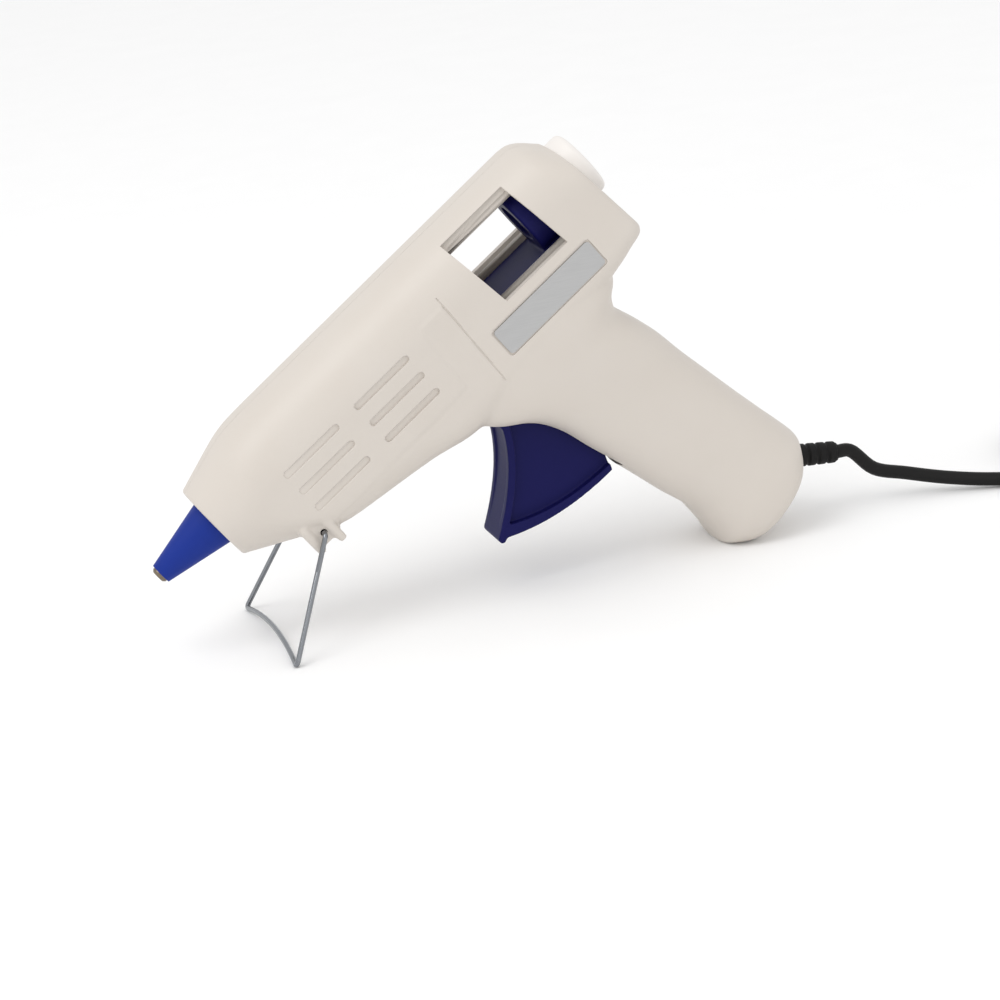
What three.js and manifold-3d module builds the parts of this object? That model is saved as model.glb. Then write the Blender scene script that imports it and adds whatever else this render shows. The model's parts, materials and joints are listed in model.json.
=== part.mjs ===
// Hot glue applicator on its wire stand. Millimetres, +Z up, nozzle towards -X, left side towards -Y.
// The gun is built along its barrel: x runs rearward from the nozzle sleeve's end, z is up from the
// barrel's axis, and the whole gun is then tipped nose down on to its stand and the heel of its grip.
import * as THREE from "three";
import { mergeVertices } from "three/addons/utils/BufferGeometryUtils.js";
import Module from "manifold-3d";

const wasm = await Module();
wasm.setup();

// Driving dimensions: glue stick and fits
const stickDiameter = 11.2;
const stickClearance = 0.7;
const boreRadius = stickDiameter / 2 + stickClearance;
const gap = 0.3;
const overrun = 2;

// Driving dimensions: housing
const noseX = 22;
const barrelLength = 153.5;
const barrelRadius = 19.6;
const halfWidth = 19.5;
const noseRadius = 13.4;
const noseEdge = 1;
const taperLength = 21;
const noseDepth = 13.6;
const barrelDepth = 31;
const gripDepth = 127.6;
const gripHeel = 172;
const gripHalfWidth = 19.5;
const wall = 2.2;
const rearLean = 0.1;

// Driving dimensions: window, label, panel and vents
const windowFront = 131;
const windowRear = 156.6;
const windowTop = 16.4;
const windowBottom = 8.3;
const windowLean = 0.12;
const lipHalfWidth = 11.1;
const lipBottom = 12;
const lipThickness = 2;
const labelLength = 40;
const labelHeight = 9.4;
const labelThickness = 0.35;
const labelMargin = 0.5;
const labelFront = 122.3;
const labelTop = 12.5;
const ventLength = 22.1;
const ventWidth = 2.3;
const ventDepth = 0.9;
const ventFront = 47.4;
const ventStep = 29.3;
const ventTop = -1.3;
const ventPitch = 7.15;
const panelDepth = 0.3;
const panelRear = 106;
const panelBottom = 19.4;
const panelTop = 9;

// Driving dimensions: nozzle and heater
const sleeveTipRadius = 3.4;
const sleeveBaseRadius = 7.95;
const sleeveWall = 1.4;
const tipRadius = 2.7;
const tipReach = 1.3;
const orificeRadius = 0.9;
const chamberRadius = 8.6;
const chamberFront = 30;
const chamberRear = 104;
const meltRadius = 6;

// Driving dimensions: inlet, carriage and trigger
const collarRadius = 11;
const collarRear = 180;
const ringRadius = 12.4;
const ringFront = 152;
const ringLength = 10.5;
const deckTop = 10;
const deckThickness = 2;
const deckHalfWidth = 11.5;
const carriageFront = 119.5;
const triggerPivotX = 118.5;
const triggerPivotDepth = 39;
const triggerHalfWidth = 8;
const triggerLength = 38.6;
const triggerDrop = 39;
const driveArm = 23;
const driveLead = 4.5;
const carriageTravel = 8.1;
const springRoom = 1.4;
const pivotBossRadius = 4;
const pinRadius = 1.75;
const pinFit = 0.1;
const pinSeat = 3.6;

// Driving dimensions: stand, cord and plug
const wireRadius = 0.8;
const standX = 44;
const standRise = 3.89;
const footX = 9.8;
const footDepth = 40.2;
const footHalfWidth = 31;
const archRise = 3.2;
const hookInset = 6.9;
const hookLength = 4.4;
const stopHeight = 4;
const holeClearance = 0.3;
const cordRadius = 2.2;
const reliefRadius = 3.7;
const reliefInset = 4;
const reliefRise = 4.4;
const reliefTilt = THREE.MathUtils.degToRad(-40.8);
const reliefReach = 14;
const coilRadius = 28.6;
const coilTurns = 6;
const coilGap = 0.55;
const coilAway = 97;

const material = (color, roughness, metalness = 0) =>
  new THREE.MeshStandardMaterial({ color, roughness, metalness });
const ivory = material(0xd9d0c6, 0.45);
const collarIvory = material(0xf0edea, 0.4);
const sleeveBlue = material(0x233e96, 0.35);
const navy = material(0x25245c, 0.4);
const black = material(0x141210, 0.6);
const silver = material(0xbebebe, 0.35, 0.6);
const chrome = material(0xd0d4d8, 0.15, 1);
const brass = material(0xa08868, 0.35, 1);
const aluminium = material(0xb8babd, 0.4, 1);
const steel = material(0x9a9ea3, 0.35, 1);
const ceramic = material(0x6b6660, 0.8);
const silicone = material(0xc8452f, 0.7);
const red = material(0x8a2f22, 0.6);
const blueWire = material(0x2d4d9a, 0.6);

// Solids from closed geometries
function solidOf(geometry) {
  const bare = geometry.clone();
  bare.deleteAttribute("normal");
  bare.deleteAttribute("uv");
  const merged = mergeVertices(bare, 1e-4);
  const vertProperties = new Float32Array(merged.attributes.position.array);
  const triVerts = new Uint32Array(merged.index.array);
  const build = () =>
    new wasm.Manifold(new wasm.Mesh({ numProp: 3, vertProperties, triVerts }));
  const made = build();
  if (made.volume() >= 0) return made;
  for (let i = 0; i < triVerts.length; i += 3)
    [triVerts[i + 1], triVerts[i + 2]] = [triVerts[i + 2], triVerts[i + 1]];
  return build();
}

function meshOf(name, solid, look) {
  const { vertProperties, triVerts, numProp } = solid.getMesh();
  const positions = new Float32Array((vertProperties.length / numProp) * 3);
  for (let i = 0; i < positions.length / 3; i++)
    positions.set(vertProperties.subarray(i * numProp, i * numProp + 3), i * 3);
  const geometry = new THREE.BufferGeometry();
  geometry.setAttribute("position", new THREE.BufferAttribute(positions, 3));
  geometry.setIndex(new THREE.BufferAttribute(triVerts, 1));
  geometry.computeVertexNormals();
  const mesh = new THREE.Mesh(geometry, look);
  mesh.name = name;
  return mesh;
}

const joined = (solids) => solids.reduce((all, one) => all.add(one));

function boxOf([x0, x1], [y0, y1], [z0, z1]) {
  const box = new THREE.BoxGeometry(x1 - x0, y1 - y0, z1 - z0);
  return solidOf(box.translate((x0 + x1) / 2, (y0 + y1) / 2, (z0 + z1) / 2));
}

// A round bar across the gun, from y0 to y1
function crossBar(x, z, radius, [y0, y1], sides = 16) {
  const bar = new THREE.CylinderGeometry(radius, radius, y1 - y0, sides);
  return solidOf(bar.translate(x, (y0 + y1) / 2, z));
}

// A turned piece about the barrel's axis, from [x, radius] points
function turned(points, sides = 24) {
  const profile = points.map(([x, radius]) => new THREE.Vector2(radius, x));
  return solidOf(new THREE.LatheGeometry(profile, sides).rotateZ(-Math.PI / 2));
}

// A turned ring closes its profile on itself
const turnedRing = (points, sides) => turned([...points, points[0]], sides);

// A side outline of [x, z] points, extruded across the gun from y0 to y1
function plateOf(points, [y0, y1]) {
  const shape = new THREE.Shape(points.map(([x, z]) => new THREE.Vector2(x, z)));
  const plate = new THREE.ExtrudeGeometry(shape, { depth: y1 - y0, bevelEnabled: false });
  return solidOf(plate.rotateX(Math.PI / 2).translate(0, y1, 0));
}

// A closed skin through rings of equally many points, with a flat fan on each end
function skinOf(rings) {
  const count = rings[0].length;
  const positions = rings.flat().flatMap((p) => [p.x, p.y, p.z]);
  const index = [];
  for (let r = 0; r + 1 < rings.length; r++)
    for (let i = 0; i < count; i++) {
      const [a, b] = [r * count + i, r * count + ((i + 1) % count)];
      index.push(a, b, b + count, a, b + count, a + count);
    }
  const last = (rings.length - 1) * count;
  for (let i = 1; i + 1 < count; i++)
    index.push(0, i + 1, i, last, last + i, last + i + 1);
  const geometry = new THREE.BufferGeometry();
  geometry.setAttribute("position", new THREE.Float32BufferAttribute(positions, 3));
  geometry.setIndex(index);
  return solidOf(geometry);
}

// A round tube along a curve
function tubeOf(curve, radius, sides, steps) {
  const section = new THREE.Shape();
  for (let i = 0; i < sides; i++) {
    const turn = (2 * Math.PI * i) / sides;
    const [u, v] = [radius * Math.cos(turn), radius * Math.sin(turn)];
    if (i === 0) section.moveTo(u, v);
    else section.lineTo(u, v);
  }
  return solidOf(new THREE.ExtrudeGeometry(section, { steps, extrudePath: curve }));
}

// The least clear distance from a coiled tube to itself, measured on its own points
function leastGap(curve, radius, turns) {
  const perTurn = 48;
  const points = curve.getSpacedPoints(Math.round(turns * perTurn));
  let least = Infinity;
  for (let i = 0; i < points.length; i++)
    for (let j = i + perTurn / 2; j < points.length; j++)
      least = Math.min(least, points[i].distanceTo(points[j]));
  return least - 2 * radius;
}

// Barrel: sections across the axis, each with its top rise, half width, depth and lower corner radius.
// Shares are of the length behind the taper, and of the barrel's radius, half width and depth.
const lowerCorner = 9;
const barrelShares = [
  { along: 0, top: 1, half: 1, depth: 0.79, corner: 1.05 },
  { along: 0.038, top: 1, half: 1, depth: 0.822, corner: 1 },
  { along: 0.114, top: 1, half: 1, depth: 0.871, corner: 1 },
  { along: 0.305, top: 1, half: 1, depth: 1, corner: 1 },
  { along: 0.4265, top: 1, half: 1, depth: 1.12, corner: 1 },
  { along: 0.768, top: 1, half: 1, depth: 1.03, corner: 0.9 },
  { along: 0.907, top: 1, half: 1, depth: 0.905, corner: 0.75 },
  { along: 0.935, top: 0.975, half: 1, depth: 0.87, corner: 0.7 },
  { along: 0.956, top: 0.9, half: 1, depth: 0.84, corner: 0.65 },
  { along: 0.9745, top: 0.77, half: 1, depth: 0.815, corner: 0.6 },
  { along: 0.9895, top: 0.64, half: 0.99, depth: 0.79, corner: 0.55 },
  { along: 1, top: 0.56, half: 0.93, depth: 0.74, corner: 0.5 },
];

const noseSections = [
  { x: noseX, top: noseRadius - noseEdge, half: noseRadius - noseEdge, depth: noseRadius - noseEdge },
  { x: noseX + noseEdge, top: noseRadius, half: noseRadius, depth: noseDepth },
].map((one) => ({ ...one, corner: one.half - noseEdge }));

const barrelSections = [
  ...noseSections,
  ...barrelShares.map(({ along, top, half, depth, corner }) => ({
    x: noseX + taperLength + along * (barrelLength - taperLength),
    top: top * barrelRadius,
    half: half * halfWidth,
    depth: depth * barrelDepth,
    corner: corner * lowerCorner,
  })),
];

const mix = (a, b, share) => a + (b - a) * share;

function barrelAt(x) {
  const next = Math.max(1, barrelSections.findIndex((one) => one.x >= x));
  const [from, to] = [barrelSections[next - 1], barrelSections[next]];
  const share = (x - from.x) / (to.x - from.x);
  const keys = ["top", "half", "depth", "corner"];
  return Object.fromEntries([["x", x], ...keys.map((key) => [key, mix(from[key], to[key], share)])]);
}

// The rear end leans back towards the bottom: its lean grows from nothing at the window to the end
const leanShare = 0.8;
const leanStart = noseX + leanShare * barrelLength;
const leanSpan = noseX + barrelLength - leanStart;
const leanAt = (x) => rearLean * THREE.MathUtils.clamp((x - leanStart) / leanSpan, 0, 1);

function barrelRing({ x, top, half, depth, corner }, inset) {
  const ring = [];
  const arcSteps = 12;
  const cornerSteps = 3;
  const point = (y, z) => ring.push(new THREE.Vector3(x - leanAt(x) * z, y, z));
  for (let i = 0; i <= arcSteps; i++) {
    const turn = (Math.PI * i) / arcSteps;
    point((half - inset) * Math.cos(turn), (top - inset) * Math.sin(turn));
  }
  const radius = Math.max(corner - inset, corner / 4);
  const [cy, cz] = [half - inset - radius, depth - inset - radius];
  for (const side of [-1, 1])
    for (let i = 0; i <= cornerSteps; i++) {
      const turn = (Math.PI / 2) * (side < 0 ? i / cornerSteps : 1 - i / cornerSteps);
      point(side * (cy + radius * Math.cos(turn)), -(cz + radius * Math.sin(turn)));
    }
  return ring;
}

function barrelSkin(inset) {
  const ends = [noseX + inset, noseX + barrelLength - inset];
  const between = barrelSections.filter(({ x }) => x > ends[0] + inset / 2 && x < ends[1] - inset / 2);
  const sections = inset ? [barrelAt(ends[0]), ...between, barrelAt(ends[1])] : barrelSections;
  return skinOf(sections.map((one) => barrelRing(one, inset)));
}

// Grip: sections at a depth below the axis, in shares of the grip's depth, heel and half width.
// tilt lowers a section's front edge, as the butt's end is square to the grip and not to the barrel.
const gripTilt = 0.2;
const gripMiddleShare = 0.8547;
const gripMiddle = gripMiddleShare * gripHeel;
const gripCornerShare = 0.7;
const gripShares = [
  { down: 0.0964, front: 0.5988, back: 0.9227, half: 0.997, tilt: 0 },
  { down: 0.1928, front: 0.5895, back: 0.9517, half: 0.997, tilt: 0 },
  { down: 0.2359, front: 0.5817, back: 0.9448, half: 0.995, tilt: 0 },
  { down: 0.2696, front: 0.5837, back: 0.9198, half: 0.987, tilt: 0 },
  { down: 0.308, front: 0.6029, back: 0.9081, half: 0.97, tilt: 0 },
  { down: 0.3511, front: 0.643, back: 0.9169, half: 0.949, tilt: 0 },
  { down: 0.3973, front: 0.6698, back: 0.9285, half: 0.922, tilt: 0 },
  { down: 0.4491, front: 0.686, back: 0.9384, half: 0.891, tilt: 0 },
  { down: 0.5196, front: 0.6983, back: 0.9462, half: 0.86, tilt: 0 },
  { down: 0.6254, front: 0.7233, back: 0.9599, half: 0.846, tilt: 0.25 },
  { down: 0.7328, front: 0.7453, back: 0.9733, half: 0.867, tilt: 0.6 },
  { down: 0.8292, front: 0.7651, back: 0.9855, half: 0.903, tilt: 1 },
  { down: 0.8879, front: 0.7651, back: 0.9948, half: 0.954, tilt: 1 },
  { down: 0.9342, front: 0.7616, back: 1, half: 0.995, tilt: 1 },
  { down: 0.9663, front: 0.7785, back: 0.9884, half: 1, tilt: 1 },
  { down: 0.9875, front: 0.7971, back: 0.9738, half: 0.954, tilt: 1 },
  { down: 1, front: 0.818, back: 0.9483, half: 0.841, tilt: 1 },
];
const gripSections = gripShares.map(({ down, front, back, half, tilt }) => ({
  down: down * gripDepth,
  front: front * gripHeel,
  back: back * gripHeel,
  half: half * gripHalfWidth,
  tilt: tilt * gripTilt,
}));

function gripRing({ down, front, back, half, tilt }, inset) {
  const ring = [];
  const steps = 4;
  const reach = (half - inset) * gripCornerShare;
  const [x0, x1] = [front + inset + reach, back - inset - reach];
  const flat = half - inset - reach;
  for (let corner = 0; corner < 4; corner++)
    for (let i = 0; i <= steps; i++) {
      const turn = (Math.PI / 2) * (corner + i / steps);
      const x = (Math.cos(turn) > 1e-9 || corner === 0 || corner === 3 ? x1 : x0) + reach * Math.cos(turn);
      const y = (corner < 2 ? flat : -flat) + reach * Math.sin(turn);
      ring.push(new THREE.Vector3(x, y, -down + tilt * (x - gripMiddle)));
    }
  return ring;
}

function gripSkin(inset) {
  const lowest = gripDepth - inset;
  const kept = gripSections.filter(({ down }) => down < lowest - 2 * inset);
  const end = { ...gripSections[gripSections.length - 1], down: lowest };
  const sections = inset ? [...kept, end] : gripSections;
  return skinOf(sections.map((one) => gripRing(one, inset)));
}

// A path through given points, one tube ring at each
class PointPath extends THREE.Curve {
  constructor(points) {
    super();
    this.points = points;
  }
  getPoint(share) {
    const last = this.points.length - 1;
    const at = THREE.MathUtils.clamp(share, 0, 1) * last;
    const index = Math.min(Math.floor(at), last - 1);
    return this.points[index].clone().lerp(this.points[index + 1], at - index);
  }
  getPointAt(share) {
    return this.getPoint(share);
  }
  getTangentAt(share) {
    const step = 0.5 / (this.points.length - 1);
    return this.getPoint(share + step).sub(this.getPoint(share - step)).normalize();
  }
}

const tubeThrough = (points, radius, sides) =>
  tubeOf(new PointPath(points), radius, sides, points.length - 1);

// Straight runs with a round bend at each corner
function bentPoints(corners, bend, steps = 3) {
  const points = [corners[0]];
  for (let i = 1; i + 1 < corners.length; i++) {
    const corner = corners[i];
    const cut = Math.min(bend, corner.distanceTo(corners[i - 1]) / 2, corner.distanceTo(corners[i + 1]) / 2);
    const from = corner.clone().add(corners[i - 1].clone().sub(corner).setLength(cut));
    const to = corner.clone().add(corners[i + 1].clone().sub(corner).setLength(cut));
    const arc = new THREE.QuadraticBezierCurve3(from, corner, to);
    for (let j = 0; j <= steps; j++) points.push(arc.getPoint(j / steps));
  }
  return [...points, corners[corners.length - 1]];
}

const vector = (x, y, z) => new THREE.Vector3(x, y, z);

// Wire stand: bent from one wire, mirrored about the gun's middle
const wireBend = 2;
const standDepth = barrelAt(standX).depth - standRise;
const kneeShare = 0.2836;
const kneeDropShare = 0.33;
const kneeX = standX - kneeShare * (standX - footX);
const kneeDepth = standDepth + kneeDropShare * (footDepth - standDepth);
const kneeOut = 1.2;
const kneeHalfWidth = halfWidth + kneeOut;
const shoulderOut = 0.2;
const shoulder = halfWidth + shoulderOut;
const hookInner = halfWidth - hookInset;
const hookRise = 0.5;
const archSteps = 6;

function standPath() {
  const half = (side) => [
    vector(standX + hookLength, side * hookInner, -standDepth + hookRise),
    vector(standX, side * hookInner, -standDepth),
    vector(standX, side * shoulder, -standDepth),
    vector(kneeX, side * kneeHalfWidth, -kneeDepth),
  ];
  const feet = [-1, 1].map((side) => vector(footX, side * footHalfWidth, -footDepth));
  const rise = vector(standX - footX, 0, footDepth - standDepth).setLength(archRise);
  const arch = [];
  for (let i = 1; i < archSteps; i++) {
    const share = i / archSteps;
    const lift = rise.clone().multiplyScalar(4 * share * (1 - share));
    arch.push(feet[0].clone().lerp(feet[1], share).add(lift));
  }
  return bentPoints([...half(-1), feet[0], ...arch, feet[1], ...half(1).reverse()], wireBend);
}
const standPoints = standPath();

// The stance: the ground touches the stand's feet and the butt's lowest edge, which it presses flat
const stanceFlat = 0.73;
const buttPoints = gripSections.flatMap((one) => gripRing(one, 0));
const upAt = (tilt) => new THREE.Vector3(Math.sin(tilt), 0, Math.cos(tilt));
const lowestOf = (points, tilt) => Math.min(...points.map((point) => point.dot(upAt(tilt))));

function stanceTilt() {
  let [low, high] = [0, Math.PI / 3];
  for (let i = 0; i < 40; i++) {
    const tilt = (low + high) / 2;
    const ground = lowestOf(standPoints, tilt) - wireRadius;
    if (lowestOf(buttPoints, tilt) > ground - stanceFlat) high = tilt;
    else low = tilt;
  }
  return low;
}
const standingTilt = stanceTilt();
const up = upAt(standingTilt);
const groundLevel = lowestOf(standPoints, standingTilt) - wireRadius;

// Everything below the ground, as a slab turned with it
function belowGround() {
  const size = 2 * gripDepth;
  const slab = new THREE.BoxGeometry(size, size, size).translate(0, 0, -size / 2);
  slab.rotateY(standingTilt).translate(up.x * groundLevel, 0, up.z * groundLevel);
  return solidOf(slab.translate(gripMiddle * up.z * up.z, 0, -gripMiddle * up.x * up.z));
}

// Screws: a pan head sunk in the right half, its thread in the left half's boss
const screwHeadRadius = 2.8;
const screwHeadHeight = 1.8;
const screwRadius = 1.4;
const screwFit = 0.25;
const bossRadius = 3.6;
const screwSeat = 8;
const screwDepth = 7;
const crossShare = 0.7;
const barrelScrewShares = [
  { along: 0.3053, down: 0.66 },
  { along: 0.5266, down: 0.84 },
  { along: 0.6861, down: -0.43 },
  { along: 0.9614, down: 0.6 },
];
const gripScrewShares = [
  { along: 0.87, down: 0.5 },
  { along: 0.862, down: 0.86 },
];
const screwPlaces = [
  ...barrelScrewShares.map(({ along, down }) => ({ x: along * gripHeel, z: -down * barrelDepth })),
  ...gripScrewShares.map(({ along, down }) => ({ x: along * gripHeel, z: -down * gripDepth })),
];

function screwSolid({ x, z }) {
  const slotWidth = 0.9;
  const slotDepth = 1;
  const head = crossBar(x, z, screwHeadRadius, [screwSeat, screwSeat + screwHeadHeight], 12);
  const shank = crossBar(x, z, screwRadius, [-screwDepth, screwSeat], 8);
  const top = [screwSeat + screwHeadHeight - slotDepth, screwSeat + screwHeadHeight + overrun];
  const reach = screwHeadRadius * crossShare;
  const cross = [
    boxOf([x - reach, x + reach], top, [z - slotWidth / 2, z + slotWidth / 2]),
    boxOf([x - slotWidth / 2, x + slotWidth / 2], top, [z - reach, z + reach]),
  ];
  return head.add(shank).subtract(joined(cross));
}

// Vent grooves: capsules sunk in the side panels
function ventCut(x0, down, side) {
  const radius = ventWidth / 2;
  const outer = side * (halfWidth + overrun);
  const inner = side * (halfWidth - panelDepth - ventDepth);
  const span = [Math.min(outer, inner), Math.max(outer, inner)];
  const points = [];
  const steps = 4;
  for (const [cx, start] of [[x0 + ventLength - radius, -Math.PI / 2], [x0 + radius, Math.PI / 2]])
    for (let i = 0; i <= steps; i++) {
      const turn = start + (Math.PI * i) / steps;
      points.push([cx + radius * Math.cos(turn), -down + radius * Math.sin(turn)]);
    }
  return plateOf(points, span);
}

// Stand lugs: two ribs round the lower edge on either side of the wire's hole
const lugHeight = 1.9;
const lugWidth = 2.7;
const lugAhead = 2.9;
const lugBehind = 1.6;
const lugHalfInner = 9.5;
const lugSide = 1.4;
const lugRise = 1.2;

function lugSolids() {
  return [standX - lugAhead - lugWidth, standX + lugBehind].map((x) => {
    const sections = [x, x + lugWidth].map((at) => barrelAt(at));
    const fat = skinOf(sections.map((one) => barrelRing(one, -lugHeight)));
    const reach = halfWidth - lugSide;
    const bands = [[-reach, -lugHalfInner], [lugHalfInner, reach]].map((span) =>
      boxOf([x - overrun, x + lugWidth + overrun], span, [-barrelDepth - lugHeight, lugRise - standDepth]),
    );
    return fat.intersect(joined(bands));
  });
}

// Cord clamp posts and the peg that the trigger spring's leg bears on
const clampShare = 0.8935;
const clampDepthShare = 0.7736;
const clampX = clampShare * gripHeel;
const clampZ = -clampDepthShare * gripDepth;
const clampHalfWidth = 8;
const clampScrewInset = 2.4;
const clampScrewDepth = 6;
const clampScrewRadius = 1.1;
const postRadius = 2.3;
const clampScrewPlaces = [-1, 1].map((side) => [clampX + side * (clampHalfWidth - clampScrewInset), clampZ]);
const springWire = 0.4;
const springCoil = 3.2;
const springLeg = 6;
const pegRadius = 1.2;
const pegRise = springCoil + springWire + gap + pegRadius;
const springPeg = [triggerPivotX + springLeg + overrun, -triggerPivotDepth + pegRise];
const pinHalfLength = triggerHalfWidth + springRoom + pinSeat;

// Carriage rails and other ribs inside the halves
const ribThickness = 2;
const railFit = 0.5;
const railThickness = 2.4;
const railInner = deckHalfWidth + railFit;
const shelfReach = 2.2;
const shelfInner = deckHalfWidth - shelfReach;
const shelfTop = deckTop + deckThickness + gap;
const shelfThickness = 1.8;
const railTop = deckTop - deckThickness + railFit;
const railFront = carriageFront - carriageTravel - overrun;
const ringRear = ringFront + ringLength;
const railRear = ringRear + ribThickness;
const cradleInset = 10;
const lipOverlap = 4;
const flangeAway = 3;
const flangeX = ringRear + flangeAway;
const flangeThickness = 2.4;
const flangeRise = 2.2;
const flangeRadius = collarRadius + flangeRise;
const stopLength = 2.2;

function ribSolids() {
  const both = (span) => [span, [-span[1], -span[0]]];
  const across = [-halfWidth, halfWidth];
  const shelf = [-shelfTop - shelfThickness, -shelfTop];
  const cradles = [chamberFront + cradleInset / 2, chamberRear - cradleInset].map((x) =>
    boxOf([x, x + ribThickness], across, [-barrelDepth, barrelRadius]),
  );
  const inletRibs = [flangeX - gap - ribThickness, flangeX + flangeThickness + gap].map((x) =>
    boxOf([x, x + ribThickness], across, [-barrelDepth, barrelRadius]),
  );
  const rails = both([railInner, railInner + railThickness]).map((span) =>
    boxOf([railFront, railRear], span, [shelf[0], -railTop]),
  );
  const shelves = both([shelfInner, halfWidth - wall / 2]).map((span) =>
    boxOf([railFront, railRear], span, shelf),
  );
  const lips = both([lipHalfWidth - lipThickness, lipHalfWidth]).map((span) =>
    boxOf([windowFront - lipOverlap, windowRear + lipOverlap], span, [lipBottom, barrelRadius]),
  );
  const pivots = both([triggerHalfWidth + springRoom, halfWidth]).map((span) =>
    crossBar(triggerPivotX, -triggerPivotDepth, pivotBossRadius, span, 12),
  );
  const stopTop = -standDepth - wireRadius - gap;
  const stops = both([hookInner - wireRadius, hookInner + 2 * wireRadius]).map((span) =>
    boxOf([standX + hookLength - stopLength, standX + hookLength], span, [stopTop - stopHeight, stopTop]),
  );
  const posts = clampScrewPlaces.map(([x, z]) => crossBar(x, z, postRadius, [-halfWidth, -gap], 12));
  const peg = crossBar(...springPeg, pegRadius, [-halfWidth, -triggerHalfWidth - gap], 10);
  return [...cradles, ...inletRibs, ...rails, ...shelves, ...lips, ...pivots, ...stops, ...posts, peg];
}

// What the halves are hollowed and pierced by
function windowCuts() {
  const lean = (x, z) => [x - windowLean * z, z];
  const outline = (top) => [
    lean(windowFront, -windowBottom),
    lean(windowRear, -windowBottom),
    lean(windowRear, top),
    lean(windowFront, top),
  ];
  const reach = halfWidth + overrun;
  return [
    plateOf(outline(lipBottom), [-reach, reach]),
    plateOf(outline(windowTop), [lipHalfWidth, reach]),
    plateOf(outline(windowTop), [-reach, -lipHalfWidth]),
  ];
}

const slotFit = 0.5;
const slotAhead = 15.9;
const slotBehind = 9.5;
const slotAbove = 11;
const slotBelow = 1.2;
const slotFront = triggerPivotX - slotAhead;
const slotRear = triggerPivotX + slotBehind;
const slotTop = triggerPivotDepth - slotAbove;
const slotBottom = triggerPivotDepth + triggerDrop + slotBelow;

function triggerSlot() {
  const points = [
    [slotFront, -slotTop],
    [slotFront, -slotTop - (slotBottom - slotTop) / 2],
    [slotFront + (slotRear - slotFront) / 2, -slotBottom],
    [slotRear, -slotBottom],
    [slotRear, -slotTop],
  ];
  const reach = triggerHalfWidth + slotFit;
  return plateOf(points, [-reach, reach]);
}

function labelRecess() {
  const [x0, x1] = [labelFront - labelMargin, labelFront + labelLength + labelMargin];
  const [z0, z1] = [-labelTop - labelHeight - labelMargin, -labelTop + labelMargin];
  return boxOf([x0, x1], [-halfWidth - overrun, -halfWidth + labelThickness + gap / 2], [z0, z1]);
}

function panelCuts() {
  const x = [noseX + overrun, panelRear];
  const z = [-panelBottom, panelTop];
  const inner = halfWidth - panelDepth;
  return [
    boxOf(x, [-halfWidth - overrun, -inner], z),
    boxOf(x, [inner, halfWidth + overrun], z),
  ];
}

function ventCuts() {
  const cuts = [];
  for (const side of [-1, 1])
    for (let set = 0; set < 2; set++)
      for (let row = 0; row < 3; row++)
        cuts.push(ventCut(ventFront + set * ventStep, ventTop + row * ventPitch, side));
  return cuts;
}

const sleeveFit = 0.35;

function boreCuts() {
  const frontOpening = turned([
    [noseX - overrun, 0],
    [noseX - overrun, sleeveBaseRadius + sleeveFit],
    [noseX + wall + overrun, sleeveBaseRadius + sleeveFit],
    [noseX + wall + overrun, 0],
  ]);
  const chamberRoom = turned([
    [chamberFront, 0],
    [chamberFront, chamberRadius + gap],
    [chamberRear + overrun, chamberRadius + gap],
    [chamberRear + overrun, 0],
  ]);
  const inletRoom = turned([
    [ringRear, 0],
    [ringRear, collarRadius + gap],
    [collarRear + overrun, collarRadius + gap],
    [collarRear + overrun, 0],
  ]);
  return [frontOpening, chamberRoom, inletRoom];
}

// Strain relief: its own axis runs out of the heel of the grip
const reliefX = gripHeel - reliefInset;
const reliefDepth = gripDepth - reliefRise;
const reliefNeck = 2.9;
const reliefInner = 10;
const reliefFlange = 1.8;
const reliefFlangeRadius = 4.5;
const reliefPoint = (x) => [
  reliefX + x * Math.cos(reliefTilt),
  0,
  -reliefDepth + x * Math.sin(reliefTilt),
];

// Turned about the relief's axis, with x counted from the housing's surface
function turnedRelief(points, sides = 14) {
  const profile = points.map(([x, radius]) => new THREE.Vector2(radius, x));
  const lathe = new THREE.LatheGeometry(profile, sides).rotateZ(-Math.PI / 2);
  return solidOf(lathe.rotateY(-reliefTilt).translate(reliefX, 0, -reliefDepth));
}

// Where the heater's leads pass the rear cradle
const leadNotchHalfWidth = 6.5;
const leadNotchDepth = 18;

function leadNotch() {
  const x = [chamberRear - cradleInset - overrun, chamberRear - cradleInset + ribThickness + overrun];
  return boxOf(x, [-leadNotchHalfWidth, leadNotchHalfWidth], [-leadNotchDepth, -chamberRadius]);
}

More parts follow.
